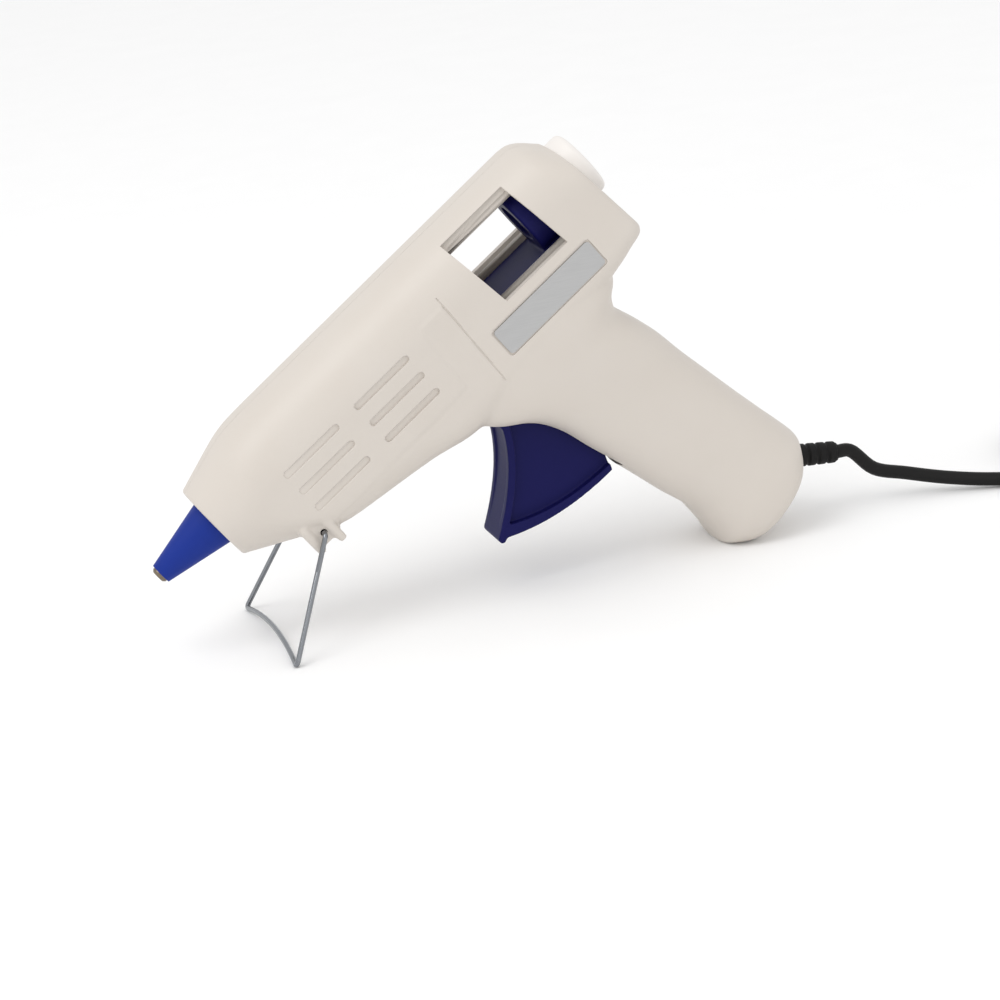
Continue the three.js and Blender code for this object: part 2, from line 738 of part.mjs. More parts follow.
function housing() {
  const across = [-halfWidth - overrun, halfWidth + overrun];
  const pinRoom = [-pinHalfLength - gap, pinHalfLength + gap];
  const outer = barrelSkin(0).add(gripSkin(0)).add(joined(lugSolids()));
  const inner = barrelSkin(wall).add(gripSkin(wall));
  const core = barrelSkin(wall / 2).add(gripSkin(wall / 2));
  const bosses = screwPlaces.map(({ x, z }) => crossBar(x, z, bossRadius, [-halfWidth, halfWidth], 10));
  const inside = joined([...ribSolids(), ...bosses]).intersect(core);
  const cuts = [
    ...boreCuts(),
    ...windowCuts(),
    triggerSlot(),
    labelRecess(),
    ...panelCuts(),
    ...ventCuts(),
    belowGround(),
    leadNotch(),
    crossBar(standX, -standDepth, wireRadius + holeClearance, across, 12),
    crossBar(triggerPivotX, -triggerPivotDepth, pinRadius + pinFit, pinRoom),
    turnedRelief([
      [-reliefInner - overrun, 0],
      [-reliefInner - overrun, reliefNeck + gap],
      [reliefInner, reliefNeck + gap],
      [reliefInner, 0],
    ]),
  ];
  const shell = outer.subtract(inner).add(inside).subtract(joined(cuts));
  const size = 2 * gripDepth;
  const rightRoom = screwPlaces.flatMap(({ x, z }) => [
    crossBar(x, z, screwRadius + screwFit, [-overrun, screwSeat + overrun], 8),
    crossBar(x, z, screwHeadRadius + screwFit, [screwSeat - gap / 2, halfWidth + overrun], 12),
  ]);
  const leftRoom = [
    ...screwPlaces.map(({ x, z }) =>
      crossBar(x, z, screwRadius + screwFit / 2, [-screwDepth - gap, overrun], 8),
    ),
    ...clampScrewPlaces.map(([x, z]) =>
      crossBar(x, z, clampScrewRadius + screwFit / 2, [-clampScrewDepth - gap, overrun], 10),
    ),
  ];
  const left = shell.intersect(boxOf([-size, size], [-size, 0], [-size, size])).subtract(joined(leftRoom));
  const right = shell.intersect(boxOf([-size, size], [0, size], [-size, size])).subtract(joined(rightRoom));
  return { left, right };
}

// Nozzle, chamber and heater, turned about the barrel's axis
const flangeStart = noseX + wall + gap;
const sleeveFlange = 2;
const sleeveFlangeRise = 1.65;
const sleeveFlangeRadius = sleeveBaseRadius + sleeveFlangeRise;
const sleeveEnd = flangeStart + sleeveFlange;
const threadRadius = 4;
const threadLength = 5;
const threadEnd = chamberFront + threadLength;
const shoulderFit = 1.15;
const tipShoulder = sleeveBaseRadius - sleeveWall - shoulderFit;
const tipShoulderLength = 4.5;
const tipEdge = 0.7;

function nozzleSleeve() {
  return turnedRing([
    [0, sleeveTipRadius],
    [noseX, sleeveBaseRadius],
    [flangeStart, sleeveBaseRadius],
    [flangeStart, sleeveFlangeRadius],
    [sleeveEnd, sleeveFlangeRadius],
    [sleeveEnd, sleeveBaseRadius - sleeveWall],
    [0, tipRadius + gap],
  ]);
}

function nozzleTip() {
  const shoulderEnd = sleeveEnd + gap;
  return turnedRing([
    [-tipReach, orificeRadius],
    [-tipReach, tipRadius - tipEdge],
    [-tipReach + tipEdge, tipRadius],
    [overrun, tipRadius],
    [shoulderEnd - tipShoulderLength, tipShoulder],
    [shoulderEnd, tipShoulder],
    [shoulderEnd, threadRadius],
    [threadEnd, threadRadius],
    [threadEnd, threadRadius - sleeveWall],
    [overrun, orificeRadius],
  ]);
}

const spigotStep = 1.4;
const spigotRadius = chamberRadius - spigotStep;
const spigotLength = 8;
const chamberEdge = 0.6;
const meltTaper = 17;
const pocketHalfWidth = 6.2;
const pocketDrop = 6.6;
const pocketDepth = chamberRadius + pocketDrop;
const pocketFront = 58;
const pocketRear = 92;
const slotHalfWidth = 4.4;
const slotFloor = 2;
const slotHeight = 3.4;
const slotDepths = [slotFloor - pocketDepth, slotFloor + slotHeight - pocketDepth];

function meltChamber() {
  const threadRoom = threadRadius + gap;
  const tube = turned([
    [chamberFront, 0],
    [chamberFront, chamberRadius - chamberEdge],
    [chamberFront + chamberEdge, chamberRadius],
    [chamberRear - spigotLength, chamberRadius],
    [chamberRear - spigotLength, spigotRadius],
    [chamberRear, spigotRadius],
    [chamberRear, 0],
  ]);
  const bore = turned([
    [chamberFront - overrun, 0],
    [chamberFront - overrun, threadRoom],
    [threadEnd + gap, threadRoom],
    [chamberFront + meltTaper, meltRadius],
    [chamberRear + overrun, meltRadius],
    [chamberRear + overrun, 0],
  ]);
  const pocket = boxOf([pocketFront, pocketRear], [-pocketHalfWidth, pocketHalfWidth], [-pocketDepth, 0]);
  const room = [pocketFront - overrun, pocketRear + overrun];
  const slot = boxOf(room, [-slotHalfWidth, slotHalfWidth], slotDepths);
  return tube.add(pocket).subtract(bore).subtract(slot);
}

function heater() {
  const [low, high] = slotDepths;
  const half = slotHalfWidth - gap;
  return boxOf([pocketFront + overrun, pocketRear - overrun], [-half, half], [low + gap, high - gap]);
}

const clipLength = 18;
const clipThickness = 0.7;
const clipRise = 6.5;

function heaterClip() {
  const middle = (pocketFront + pocketRear) / 2;
  const x = [middle - clipLength / 2, middle + clipLength / 2];
  const inner = pocketHalfWidth + gap;
  const outer = inner + clipThickness;
  const low = -pocketDepth - gap;
  const around = boxOf(x, [-outer, outer], [low - clipThickness, low + clipRise]);
  const room = boxOf([x[0] - overrun, x[1] + overrun], [-inner, inner], [low, low + clipRise + overrun]);
  return around.subtract(room);
}

const feedWall = 2;
const feedRadius = spigotRadius + feedWall;
const feedOverlap = spigotLength - 2 * gap;
const feedReach = 6.5;
const bandWidth = 4;
const bandThickness = 0.8;

function feedSleeve() {
  const front = chamberRear - feedOverlap;
  return turnedRing([
    [front, spigotRadius + gap],
    [front, feedRadius],
    [chamberRear + feedReach, feedRadius],
    [chamberRear + feedReach, boreRadius],
    [chamberRear + gap, boreRadius],
    [chamberRear + gap, spigotRadius + gap],
  ]);
}

function sleeveBand() {
  const front = chamberRear - feedOverlap / 2 - bandWidth / 2;
  return turnedRing([
    [front, feedRadius + gap],
    [front, feedRadius + gap + bandThickness],
    [front + bandWidth, feedRadius + gap + bandThickness],
    [front + bandWidth, feedRadius + gap],
  ]);
}

// Inlet collar, held by its flange between two ribs
const collarFillet = 2;
const collarMouth = 1;

function inletCollar() {
  const fillet = [0, 1, 2, 3].map((i) => {
    const turn = (Math.PI / 2) * (i / 3);
    const edge = [collarRear - collarFillet, collarRadius - collarFillet];
    return [edge[0] + collarFillet * Math.sin(turn), edge[1] + collarFillet * Math.cos(turn)];
  });
  return turnedRing(
    [
      [flangeX, boreRadius],
      [flangeX, flangeRadius],
      [flangeX + flangeThickness, flangeRadius],
      [flangeX + flangeThickness, collarRadius],
      ...fillet,
      [collarRear, boreRadius + collarMouth],
      [collarRear - collarMouth, boreRadius],
    ],
    26,
  );
}

// Carriage: a deck on the shelves, a ring round the stick, and two skirts for the drive pin
const ringEdge = 0.8;
const skirtInner = 6.9;
const skirtThickness = 1.7;
const skirtLength = 14;
const drivePinRadius = 1.5;
const driveX = triggerPivotX + driveLead;
const driveZ = -triggerPivotDepth + driveArm;
const skirtMargin = 1;
const skirtDrop = drivePinRadius + skirtMargin;
const drivePinHalfLength = skirtInner + skirtThickness + gap;
const pawlPinRadius = 1;
const pawlInset = 2.5;
const pawlDrop = 3.5;
const pawlX = ringRear - pawlInset;
const pawlZ = -boreRadius - pawlDrop;
const pawlPinHalfLength = 6;
const pawlHalfWidth = 3;
const pawlRoomWall = 1.5;

function carriage() {
  const deckLow = -deckTop - deckThickness;
  const ring = turnedRing(
    [
      [ringFront, boreRadius + gap],
      [ringFront, ringRadius - ringEdge],
      [ringFront + ringEdge, ringRadius],
      [ringRear, ringRadius],
      [ringRear, boreRadius + gap],
    ],
    26,
  );
  const reach = ringRadius + overrun;
  const below = boxOf([ringFront - overrun, ringRear + overrun], [-reach, reach], [-reach, deckLow]);
  const deck = boxOf([carriageFront, ringRear], [-deckHalfWidth, deckHalfWidth], [deckLow, -deckTop]);
  const skirtX = [carriageFront, carriageFront + skirtLength];
  const skirts = [skirtInner, -skirtInner - skirtThickness].map((y) =>
    boxOf(skirtX, [y, y + skirtThickness], [driveZ - skirtDrop, -deckTop]),
  );
  const pawlRoom = boxOf(
    [ringFront + pawlRoomWall, ringRear + overrun],
    [-pawlHalfWidth - gap, pawlHalfWidth + gap],
    [deckLow - overrun, -stickDiameter / 2],
  );
  const holes = [
    crossBar(driveX, driveZ, drivePinRadius + pinFit, [-deckHalfWidth, deckHalfWidth]),
    crossBar(pawlX, pawlZ, pawlPinRadius + pinFit, [-pawlPinHalfLength - gap, pawlPinHalfLength + gap], 12),
  ];
  return ring.subtract(below).add(deck).add(joined(skirts)).subtract(pawlRoom).subtract(joined(holes));
}

const pawlReach = 5.6;
const toothShares = [0.5, 0.6, 0.75];
const pawlHeel = 1.5;
const toothRise = 2.6;
const toothNotch = 0.7;

function gripPawl() {
  const low = -deckTop - deckThickness + gap;
  const top = pawlZ + toothRise;
  const points = [
    [pawlX + pawlHeel, low],
    [pawlX + pawlHeel, pawlZ + pawlPinRadius + toothNotch / 2],
    [pawlX - pawlReach * toothShares[0], top - toothNotch],
    [pawlX - pawlReach * toothShares[1], top],
    [pawlX - pawlReach * toothShares[2], top - toothNotch],
    [pawlX - pawlReach, top],
    [pawlX - pawlReach, low],
  ];
  const pawl = plateOf(points, [-pawlHalfWidth, pawlHalfWidth]);
  return pawl.subtract(crossBar(pawlX, pawlZ, pawlPinRadius + pinFit, [-halfWidth, halfWidth], 12));
}

// Trigger: finger face, rim lip along the front and lower edge, recessed web, hub and forked drive arm
const lipWidth = 2.8;
const rimWidth = 2.1;
const webHalfWidth = 5.6;
const hubRadius = 5.5;
const forkHalfWidth = 4.5;
const forkHalfThickness = 3;
const forkOver = 2.3;
const forkUnder = 2.4;
const forkTop = driveArm + forkOver;
const forkRoot = driveArm - forkUnder;
const springPocket = 4.8;
const springSide = 4;

// Finger face and lower edge in the side view, from the pivot: forward in shares of the trigger's
// length and down in shares of its drop
const triggerShares = {
  topFront: [0.363, -0.154],
  faceTop: [0.347, 0.087],
  faceBend: [0.505, 0.4255],
  faceFoot: [0.974, 0.733],
  toe: [1, 0.7795],
  toeEnd: [0.953, 0.792],
  edgeStart: [0.912, 0.777],
  edgeBend: [0.491, 1],
  edgeEnd: [-0.08, 0.997],
  heel: [-0.13, 0.872],
  back: [-0.104, 0.231],
  topBack: [0.168, -0.154],
};
const triggerOutline = Object.fromEntries(
  Object.entries(triggerShares).map(([name, [forward, down]]) => [
    name,
    [triggerPivotX - forward * triggerLength, -triggerPivotDepth - down * triggerDrop],
  ]),
);

function triggerBody() {
  const at = triggerOutline;
  const shape = new THREE.Shape();
  shape.moveTo(...at.topFront);
  shape.lineTo(...at.faceTop);
  shape.quadraticCurveTo(...at.faceBend, ...at.faceFoot);
  shape.quadraticCurveTo(...at.toe, ...at.toeEnd);
  shape.lineTo(...at.edgeStart);
  shape.quadraticCurveTo(...at.edgeBend, ...at.edgeEnd);
  shape.lineTo(...at.heel);
  shape.lineTo(...at.back);
  shape.lineTo(...at.topBack);
  const points = shape.getPoints(7).map(({ x, y }) => [x, y]);
  return plateOf(points, [-triggerHalfWidth, triggerHalfWidth]);
}

function triggerRecess(span) {
  const at = triggerOutline;
  const shape = new THREE.Shape();
  shape.moveTo(at.faceTop[0] + lipWidth, at.topFront[1] + overrun);
  shape.lineTo(at.faceTop[0] + lipWidth, at.faceTop[1]);
  shape.quadraticCurveTo(
    at.faceBend[0] + lipWidth,
    at.faceBend[1],
    at.faceFoot[0] + 2 * lipWidth,
    at.faceFoot[1] + rimWidth / 2,
  );
  shape.quadraticCurveTo(
    at.edgeBend[0] + rimWidth,
    at.edgeBend[1] + rimWidth,
    at.heel[0] + overrun,
    at.edgeEnd[1] + rimWidth,
  );
  shape.lineTo(at.heel[0] + overrun, at.topFront[1] + overrun);
  return plateOf(shape.getPoints(6).map(({ x, y }) => [x, y]), span);
}

function trigger() {
  const [px, pz] = [triggerPivotX, -triggerPivotDepth];
  const arm = new THREE.Vector2(driveLead, driveArm).normalize();
  const along = (distance, side) => [
    px + arm.x * distance + arm.y * side,
    pz + arm.y * distance - arm.x * side,
  ];
  const strip = (from, to, half) => [along(from, -half), along(from, half), along(to, half), along(to, -half)];
  const fork = plateOf(strip(0, forkTop, forkHalfWidth), [-forkHalfThickness, forkHalfThickness]);
  const slot = plateOf(
    strip(forkRoot, forkTop + overrun, drivePinRadius + gap),
    [-triggerHalfWidth, triggerHalfWidth],
  );
  const reach = triggerHalfWidth + overrun;
  const body = triggerBody()
    .subtract(triggerRecess([webHalfWidth, reach]))
    .subtract(triggerRecess([-reach, -webHalfWidth]))
    .add(crossBar(px, pz, hubRadius, [-triggerHalfWidth, triggerHalfWidth], 20))
    .add(fork)
    .subtract(slot);
  const springSpanY = [-reach, -springSide];
  const legX = [px - springPocket, px - springPocket + 2 * lipWidth];
  const springRooms = [
    crossBar(px, pz, springPocket, springSpanY, 20),
    boxOf(legX, springSpanY, [pz - springLeg - gap, pz]),
  ];
  return body
    .subtract(joined(springRooms))
    .subtract(crossBar(px, pz, pinRadius + pinFit, [-reach, reach], 18));
}

// Trigger return spring: a coil round the pin, one leg in the trigger's pocket, one under the peg
const springTurns = 3.25;
const springSpan = triggerHalfWidth + springRoom - springSide - 2 * (gap + springWire);
const springPitch = springSpan / springTurns;

function triggerSpring() {
  const [px, pz] = [triggerPivotX, -triggerPivotDepth];
  const steps = 12;
  const y0 = -springSide - gap - springWire;
  const coil = [];
  for (let i = 0; i <= springTurns * steps; i++) {
    const turn = (2 * Math.PI * i) / steps + Math.PI;
    const [x, z] = [px + springCoil * Math.cos(turn), pz - springCoil * Math.sin(turn)];
    coil.push(vector(x, y0 - (springPitch * i) / steps, z));
  }
  const foot = coil[0].clone();
  foot.z += springWire - springLeg;
  const tip = coil[coil.length - 1].clone();
  tip.x += 2 * springLeg;
  return tubeThrough([foot, ...coil, tip], springWire, 6);
}

// Rating plate, bare, with rounded corners
const labelCorner = 1.2;

function labelPlate() {
  const points = [];
  const [x1, z1] = [labelFront + labelLength, -labelTop - labelHeight];
  const steps = 3;
  const centres = [
    [x1 - labelCorner, -labelTop - labelCorner],
    [labelFront + labelCorner, -labelTop - labelCorner],
    [labelFront + labelCorner, z1 + labelCorner],
    [x1 - labelCorner, z1 + labelCorner],
  ];
  centres.forEach(([x, z], corner) => {
    for (let i = 0; i <= steps; i++) {
      const turn = (Math.PI / 2) * (corner + i / steps);
      points.push([x + labelCorner * Math.cos(turn), z + labelCorner * Math.sin(turn)]);
    }
  });
  const face = -halfWidth + gap / 3;
  return plateOf(points, [face, face + labelThickness]);
}

// Strain relief: a flange inside the heel, a neck through the wall and ribs outside
const reliefRibs = 4;
const ribPitch = reliefReach / reliefRibs;
const ribShares = [0.2, 0.75, 0.95];
const ribDepth = 0.45;

function strainRelief() {
  const bore = cordRadius + gap;
  const ribs = [];
  for (let i = 0; i < reliefRibs; i++) {
    const start = gap + i * (ribPitch - gap / reliefRibs);
    ribs.push(
      [start, reliefRadius - ribDepth],
      [start + ribPitch * ribShares[0], reliefRadius],
      [start + ribPitch * ribShares[1], reliefRadius],
      [start + ribPitch * ribShares[2], reliefRadius - ribDepth],
    );
  }
  const flangeEnd = -reliefInner + 2 * reliefFlange;
  return turnedRelief([
    [-reliefInner, bore],
    [-reliefInner, reliefFlangeRadius - gap],
    [flangeEnd, reliefFlangeRadius],
    [flangeEnd, reliefNeck],
    [gap, reliefNeck],
    ...ribs,
    [reliefReach, bore],
    [-reliefInner, bore],
  ]);
}

// The cord's inner end: through the relief, under the clamp, to the two crimps.
// Its corners are offsets from the clamp's middle.
const tailRun = 3;
const cordBend = 3;
const tailOffsets = [
  [2, -7],
  [0, 0],
  [-1.5, 8],
];

function cordTail() {
  const run = [reliefReach, -reliefInner - tailRun].map((x) => vector(...reliefPoint(x)));
  const corners = tailOffsets.map(([x, z]) => vector(clampX + x, 0, clampZ + z));
  return tubeThrough(bentPoints([...run, ...corners], cordBend), cordRadius, 8);
}

const clampThickness = 1.8;
const clampWidth = 5;
const clampHeadRadius = 2.2;
const clampHeadHeight = 1.4;

function cordClamp() {
  const x = [clampX - clampHalfWidth, clampX + clampHalfWidth];
  const z = [clampZ - clampWidth / 2, clampZ + clampWidth / 2];
  const y = [gap, cordRadius + gap + clampThickness];
  const room = cordRadius + 2 * gap;
  const under = [-overrun, cordRadius + gap];
  const channel = boxOf([clampX - room, clampX + room], under, [z[0] - overrun, z[1] + overrun]);
  const holes = clampScrewPlaces.map(([hx, hz]) =>
    crossBar(hx, hz, clampScrewRadius + screwFit, [-overrun, halfWidth], 10),
  );
  return boxOf(x, y, z).subtract(channel).subtract(joined(holes));
}

function clampScrew([x, z]) {
  const seat = cordRadius + gap + clampThickness;
  const head = crossBar(x, z, clampHeadRadius, [seat + pinFit, seat + pinFit + clampHeadHeight], 14);
  return head.add(crossBar(x, z, clampScrewRadius, [-clampScrewDepth, seat + gap], 8));
}

// Inner leads from the crimps, past the trigger, to the heater
const leadRadius = 0.8;
const crimpRadius = 1.9;
const crimpLength = 7;
const crimpY = 2.6;
const crimpAhead = 2.1;
const crimpRise = 11;
const crimpFoot = vector(clampX - crimpAhead, 0, clampZ + crimpRise);
const crimpDirection = vector(-0.25, 0, 1).normalize();
const leadRise = 22;
const leadTurnRise = 28;
const leadMiddleShare = 0.407;
const leadRoute = [
  [147, 4.5, clampZ + leadRise],
  [142, 8.5, clampZ + leadTurnRise],
  [137, 11.3, -leadMiddleShare * gripDepth],
  [133, 12.4, -38],
  [127, 12.4, -27],
  [118, 12.4, -22.5],
  [107, 9, -19.5],
  [98, 4, -14],
  [91, 2.2, -11.5],
];

function crimp(side) {
  const foot = crimpFoot.clone().setY(side * crimpY);
  return tubeThrough([foot, foot.clone().addScaledVector(crimpDirection, crimpLength)], crimpRadius, 10);
}

function lead(side) {
  const start = crimpFoot.clone().addScaledVector(crimpDirection, crimpLength + gap).setY(side * crimpY);
  const route = leadRoute.map(([x, y, z]) => vector(x, side * y, z));
  const curve = new THREE.CatmullRomCurve3([start, ...route], false, "centripetal");
  return tubeThrough(curve.getSpacedPoints(22), leadRadius, 6);
}

const pinOf = (x, z, radius, halfLength, sides) => crossBar(x, z, radius, [-halfLength, halfLength], sides);

const gun = new THREE.Group();
const { left, right } = housing();
const halves = [meshOf("housing_left", left, ivory), meshOf("housing_right", right, ivory)];
gun.add(...halves);
const pieces = [
  ["inlet_collar", inletCollar(), collarIvory],
  ["nozzle_sleeve", nozzleSleeve(), sleeveBlue],
  ["nozzle_tip", nozzleTip(), brass],
  ["melt_chamber", meltChamber(), aluminium],
  ["ptc_heater", heater(), ceramic],
  ["heater_clip", heaterClip(), steel],
  ["feed_sleeve", feedSleeve(), silicone],
  ["sleeve_band", sleeveBand(), steel],
  ["carriage", carriage(), navy],
  ["grip_pawl", gripPawl(), steel],
  ["pawl_pin", pinOf(pawlX, pawlZ, pawlPinRadius, pawlPinHalfLength, 12), steel],
  ["drive_pin", pinOf(driveX, driveZ, drivePinRadius, drivePinHalfLength, 14), steel],
  ["trigger", trigger(), navy],
  ["trigger_pin", pinOf(triggerPivotX, -triggerPivotDepth, pinRadius, pinHalfLength, 18), steel],
  ["trigger_spring", triggerSpring(), steel],
  ["wire_stand", tubeThrough(standPoints, wireRadius, 8), chrome],
  ["label_plate", labelPlate(), silver],
  ["strain_relief", strainRelief(), black],
  ["cord_tail", cordTail(), black],
  ["cord_clamp", cordClamp(), collarIvory],
  ["crimp_left", crimp(-1), silver],
  ["crimp_right", crimp(1), silver],
  ["lead_left", lead(-1), red],
  ["lead_right", lead(1), blueWire],
];
screwPlaces.forEach((place, i) => pieces.push([`screw_${i + 1}`, screwSolid(place), steel]));
clampScrewPlaces.forEach((place, i) => pieces.push([`clamp_screw_${i + 1}`, clampScrew(place), steel]));
for (const [name, solid, look] of pieces) gun.add(meshOf(name, solid, look));

// Tip the gun on to the ground, with the middle of its outline over the origin
gun.rotation.y = -standingTilt;
gun.updateMatrixWorld(true);
const extent = new THREE.Box3().setFromObject(gun, true);
const centreX = (extent.min.x + extent.max.x) / 2;
gun.position.set(-centreX, 0, -groundLevel);
gun.updateMatrixWorld(true);

// The halves are turned point by point, and the butt's flat is levelled on the ground
const levelFit = 1e-3;
for (const half of halves) {
  half.geometry.applyMatrix4(gun.matrixWorld);
  const points = half.geometry.attributes.position;
  for (let i = 0; i < points.count; i++)
    if (Math.abs(points.getZ(i)) < levelFit) points.setZ(i, 0);
  gun.remove(half);
}

// Free cord: from the relief's end down to the table, into the coil, and on to the plug.
// The route's points are offsets from the relief's end along the table, with their heights.
const reliefEnd = vector(...reliefPoint(reliefReach + gap)).applyMatrix4(gun.matrixWorld);
const leadOffsets = [
  [12, -0.6, 10.9],
  [22, -2.6, 7.7],
  [34, -7, 4.7],
  [47, -13, 2.9],
  [61, -19, 2.3],
];
const coilStartX = reliefEnd.x + coilAway;
const coilMiddleY = 6;
const climbShare = 0.25;
const cordPitch = 2 * cordRadius + coilGap;
const layerHeights = [cordRadius, cordRadius + cordPitch];
const endRun = 2 * cordRadius;

function coilPoints() {
  const stepsPerTurn = 24;
  const half = coilTurns / 2;
  const points = [vector(coilStartX - endRun, coilMiddleY - coilRadius, layerHeights[0])];
  for (let i = 0; i <= coilTurns * stepsPerTurn; i++) {
    const turns = i / stepsPerTurn;
    const radius = coilRadius - cordPitch * Math.min(turns, coilTurns - turns);
    const climb = THREE.MathUtils.smoothstep(turns, half - climbShare, half + climbShare);
    const angle = 2 * Math.PI * turns - Math.PI / 2;
    points.push(
      vector(
        coilStartX + radius * Math.cos(angle),
        coilMiddleY + radius * Math.sin(angle),
        mix(...layerHeights, climb),
      ),
    );
  }
  const end = points[points.length - 1];
  const runEnd = plugStartX - gap;
  return [...points, vector(end.x + endRun, end.y, end.z), vector(runEnd, end.y, end.z)];
}

const plugAway = 3;
const plugStartX = coilStartX + coilRadius + plugAway;
const plugLength = 36;
const plugWidth = 28;
const plugNeckWidth = 9;
const plugShoulderShare = 0.5;
const plugBevel = 1.5;
const plugPinRadius = 2;
const plugPinLength = 19;
const plugPinSpacing = 18.6;
const plugMiddleY = coilMiddleY - coilRadius;

function plugBody() {
  const shoulder = plugLength * plugShoulderShare;
  const outline = [
    [0, plugNeckWidth / 2 - plugBevel],
    [shoulder, plugWidth / 2 - plugBevel],
    [plugLength - 2 * plugBevel, plugWidth / 2 - plugBevel],
  ];
  const points = [...outline, ...outline.map(([x, y]) => [x, -y]).reverse()];
  const shape = new THREE.Shape(points.map(([x, y]) => new THREE.Vector2(x, y)));
  const height = 2 * layerHeights[1];
  const body = new THREE.ExtrudeGeometry(shape, {
    depth: height - 2 * plugBevel,
    bevelSize: plugBevel,
    bevelThickness: plugBevel,
    bevelSegments: 2,
  });
  return solidOf(body.translate(plugStartX + plugBevel, plugMiddleY, plugBevel));
}

function plugPin(side) {
  const x = plugStartX + plugLength + gap;
  const y = plugMiddleY + (side * plugPinSpacing) / 2;
  const reaches = [0, plugPinLength - plugPinRadius, plugPinLength];
  const points = reaches.map((reach) => vector(x + reach, y, layerHeights[1]));
  return tubeThrough(points, plugPinRadius, 12);
}

const straightRun = (share) =>
  vector(...reliefPoint(reliefReach + gap + endRun * share)).applyMatrix4(gun.matrixWorld);
const leadEnd = coilStartX - endRun - gap;
const leadPoints = [
  straightRun(0),
  straightRun(1),
  ...leadOffsets.map(([x, y, z]) => vector(reliefEnd.x + x, reliefEnd.y + y, z)),
  vector(leadEnd - endRun, plugMiddleY, layerHeights[0]),
  vector(leadEnd, plugMiddleY, layerHeights[0]),
];
const leadCurve = new THREE.CatmullRomCurve3(leadPoints, false, "centripetal");
const coilPath = new PointPath(coilPoints());
console.log("least gap in the cord coil, mm:", leastGap(coilPath, cordRadius, coilTurns).toFixed(2));

const cord = new THREE.Group();
cord.add(
  meshOf("cord_lead", tubeThrough(leadCurve.getSpacedPoints(20), cordRadius, 10), black),
  meshOf("cord_coil", tubeThrough(coilPath.points, cordRadius, 6), black),
  meshOf("plug_body", plugBody(), black),
  meshOf("plug_pin_1", plugPin(-1), chrome),
  meshOf("plug_pin_2", plugPin(1), chrome),
);

const applicator = new THREE.Group();
applicator.add(...halves, gun, cord);
export default applicator;
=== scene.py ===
# %% [markdown]
# # A hot glue gun standing on its wire stand
# The real object is a small craft glue gun: two moulded ivory halves, a blue rubber sleeve round a metal
# nozzle, a navy trigger that pushes a navy carriage, a bent wire stand and a thin black mains cord.
# The imported CAD model is loaded first. It is the fixed frame: every piece below is put where the CAD has it,
# and only shows it in finer form.

# %% Load the frame
import json
import math

import bpy
from mathutils import Matrix, Vector


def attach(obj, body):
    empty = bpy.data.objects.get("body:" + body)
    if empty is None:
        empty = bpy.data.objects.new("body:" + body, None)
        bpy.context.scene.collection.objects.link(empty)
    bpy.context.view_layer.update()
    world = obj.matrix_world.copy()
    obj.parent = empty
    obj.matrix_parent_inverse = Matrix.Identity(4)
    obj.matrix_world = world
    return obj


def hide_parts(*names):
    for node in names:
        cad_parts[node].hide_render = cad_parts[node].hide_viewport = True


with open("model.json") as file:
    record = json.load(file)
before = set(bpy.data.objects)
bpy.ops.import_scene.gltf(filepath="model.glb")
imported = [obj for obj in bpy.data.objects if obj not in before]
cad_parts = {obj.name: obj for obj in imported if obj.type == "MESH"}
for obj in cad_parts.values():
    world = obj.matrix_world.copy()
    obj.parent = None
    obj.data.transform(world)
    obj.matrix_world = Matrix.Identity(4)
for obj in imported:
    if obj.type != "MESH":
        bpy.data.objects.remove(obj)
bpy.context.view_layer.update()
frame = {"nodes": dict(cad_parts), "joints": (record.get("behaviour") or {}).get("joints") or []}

# %% [markdown]
# The gun is easiest to draw along its own barrel: x runs back from the nozzle, z is up from the barrel's
# axis, and a millimetre is 1. The carriage slides along the barrel and the trigger turns on a pin across it,
# so these two joints of the frame say how the gun is tipped and where it stands.

# %% From the gun's own millimetres to the frame
joints = {joint["name"]: joint for joint in frame["joints"]}
forward = Vector(joints["carriage_feed"]["axis"])
tilt = math.atan2(-forward.z, -forward.x)
turn = Matrix.Rotation(-tilt, 4, "Y")
trigger_pivot = Vector((118.5, 0, -39))
origin = Vector(joints["trigger_pull"]["pos_m"]) - turn @ (trigger_pivot * 0.001)
to_frame = Matrix.Translation(origin) @ turn @ Matrix.Scale(0.001, 4)
millimetres = Matrix.Scale(0.001, 4)
print("gun tipped by", round(math.degrees(tilt), 2), "degrees")


def gun_point(x, y, z):
    return to_frame @ Vector((x, y, z))


# %% [markdown]
# The camera stands where the photographer stood: a little above the gun, towards its nozzle, with a long
# lens that hardly narrows the far end. It was found from places that show in the picture, such as the
# corners of the window, and is set once, by its turn, rise and roll.

# %% Camera
picture_width = 1000
sensor_width = 36
focal_pixels = 3531.2
camera_distance = 1.1
camera_turn = math.radians(-15.81)
camera_rise = math.radians(18.157)
camera_roll = math.radians(-7.493)
camera_target = Vector((-0.001, 0, 0.02773))

outward = Vector(
    (
        math.sin(camera_turn) * math.cos(camera_rise),
        -math.cos(camera_turn) * math.cos(camera_rise),
        math.sin(camera_rise),
    )
)
level_right = Vector((0, 0, 1)).cross(outward).normalized()
level_up = outward.cross(level_right)
right = level_right * math.cos(camera_roll) + level_up * math.sin(camera_roll)
upward = outward.cross(right)

camera_data = bpy.data.cameras.new("camera")
camera_data.sensor_width = sensor_width
camera_data.lens = focal_pixels / picture_width * sensor_width
camera_data.clip_start = 0.01
camera = bpy.data.objects.new("camera", camera_data)
bpy.context.scene.collection.objects.link(camera)
camera.matrix_world = Matrix.Translation(camera_target + outward * camera_distance) @ Matrix(
    (right, upward, outward)
).transposed().to_4x4()
bpy.context.scene.camera = camera
print("lens", round(camera_data.lens, 1), "mm")

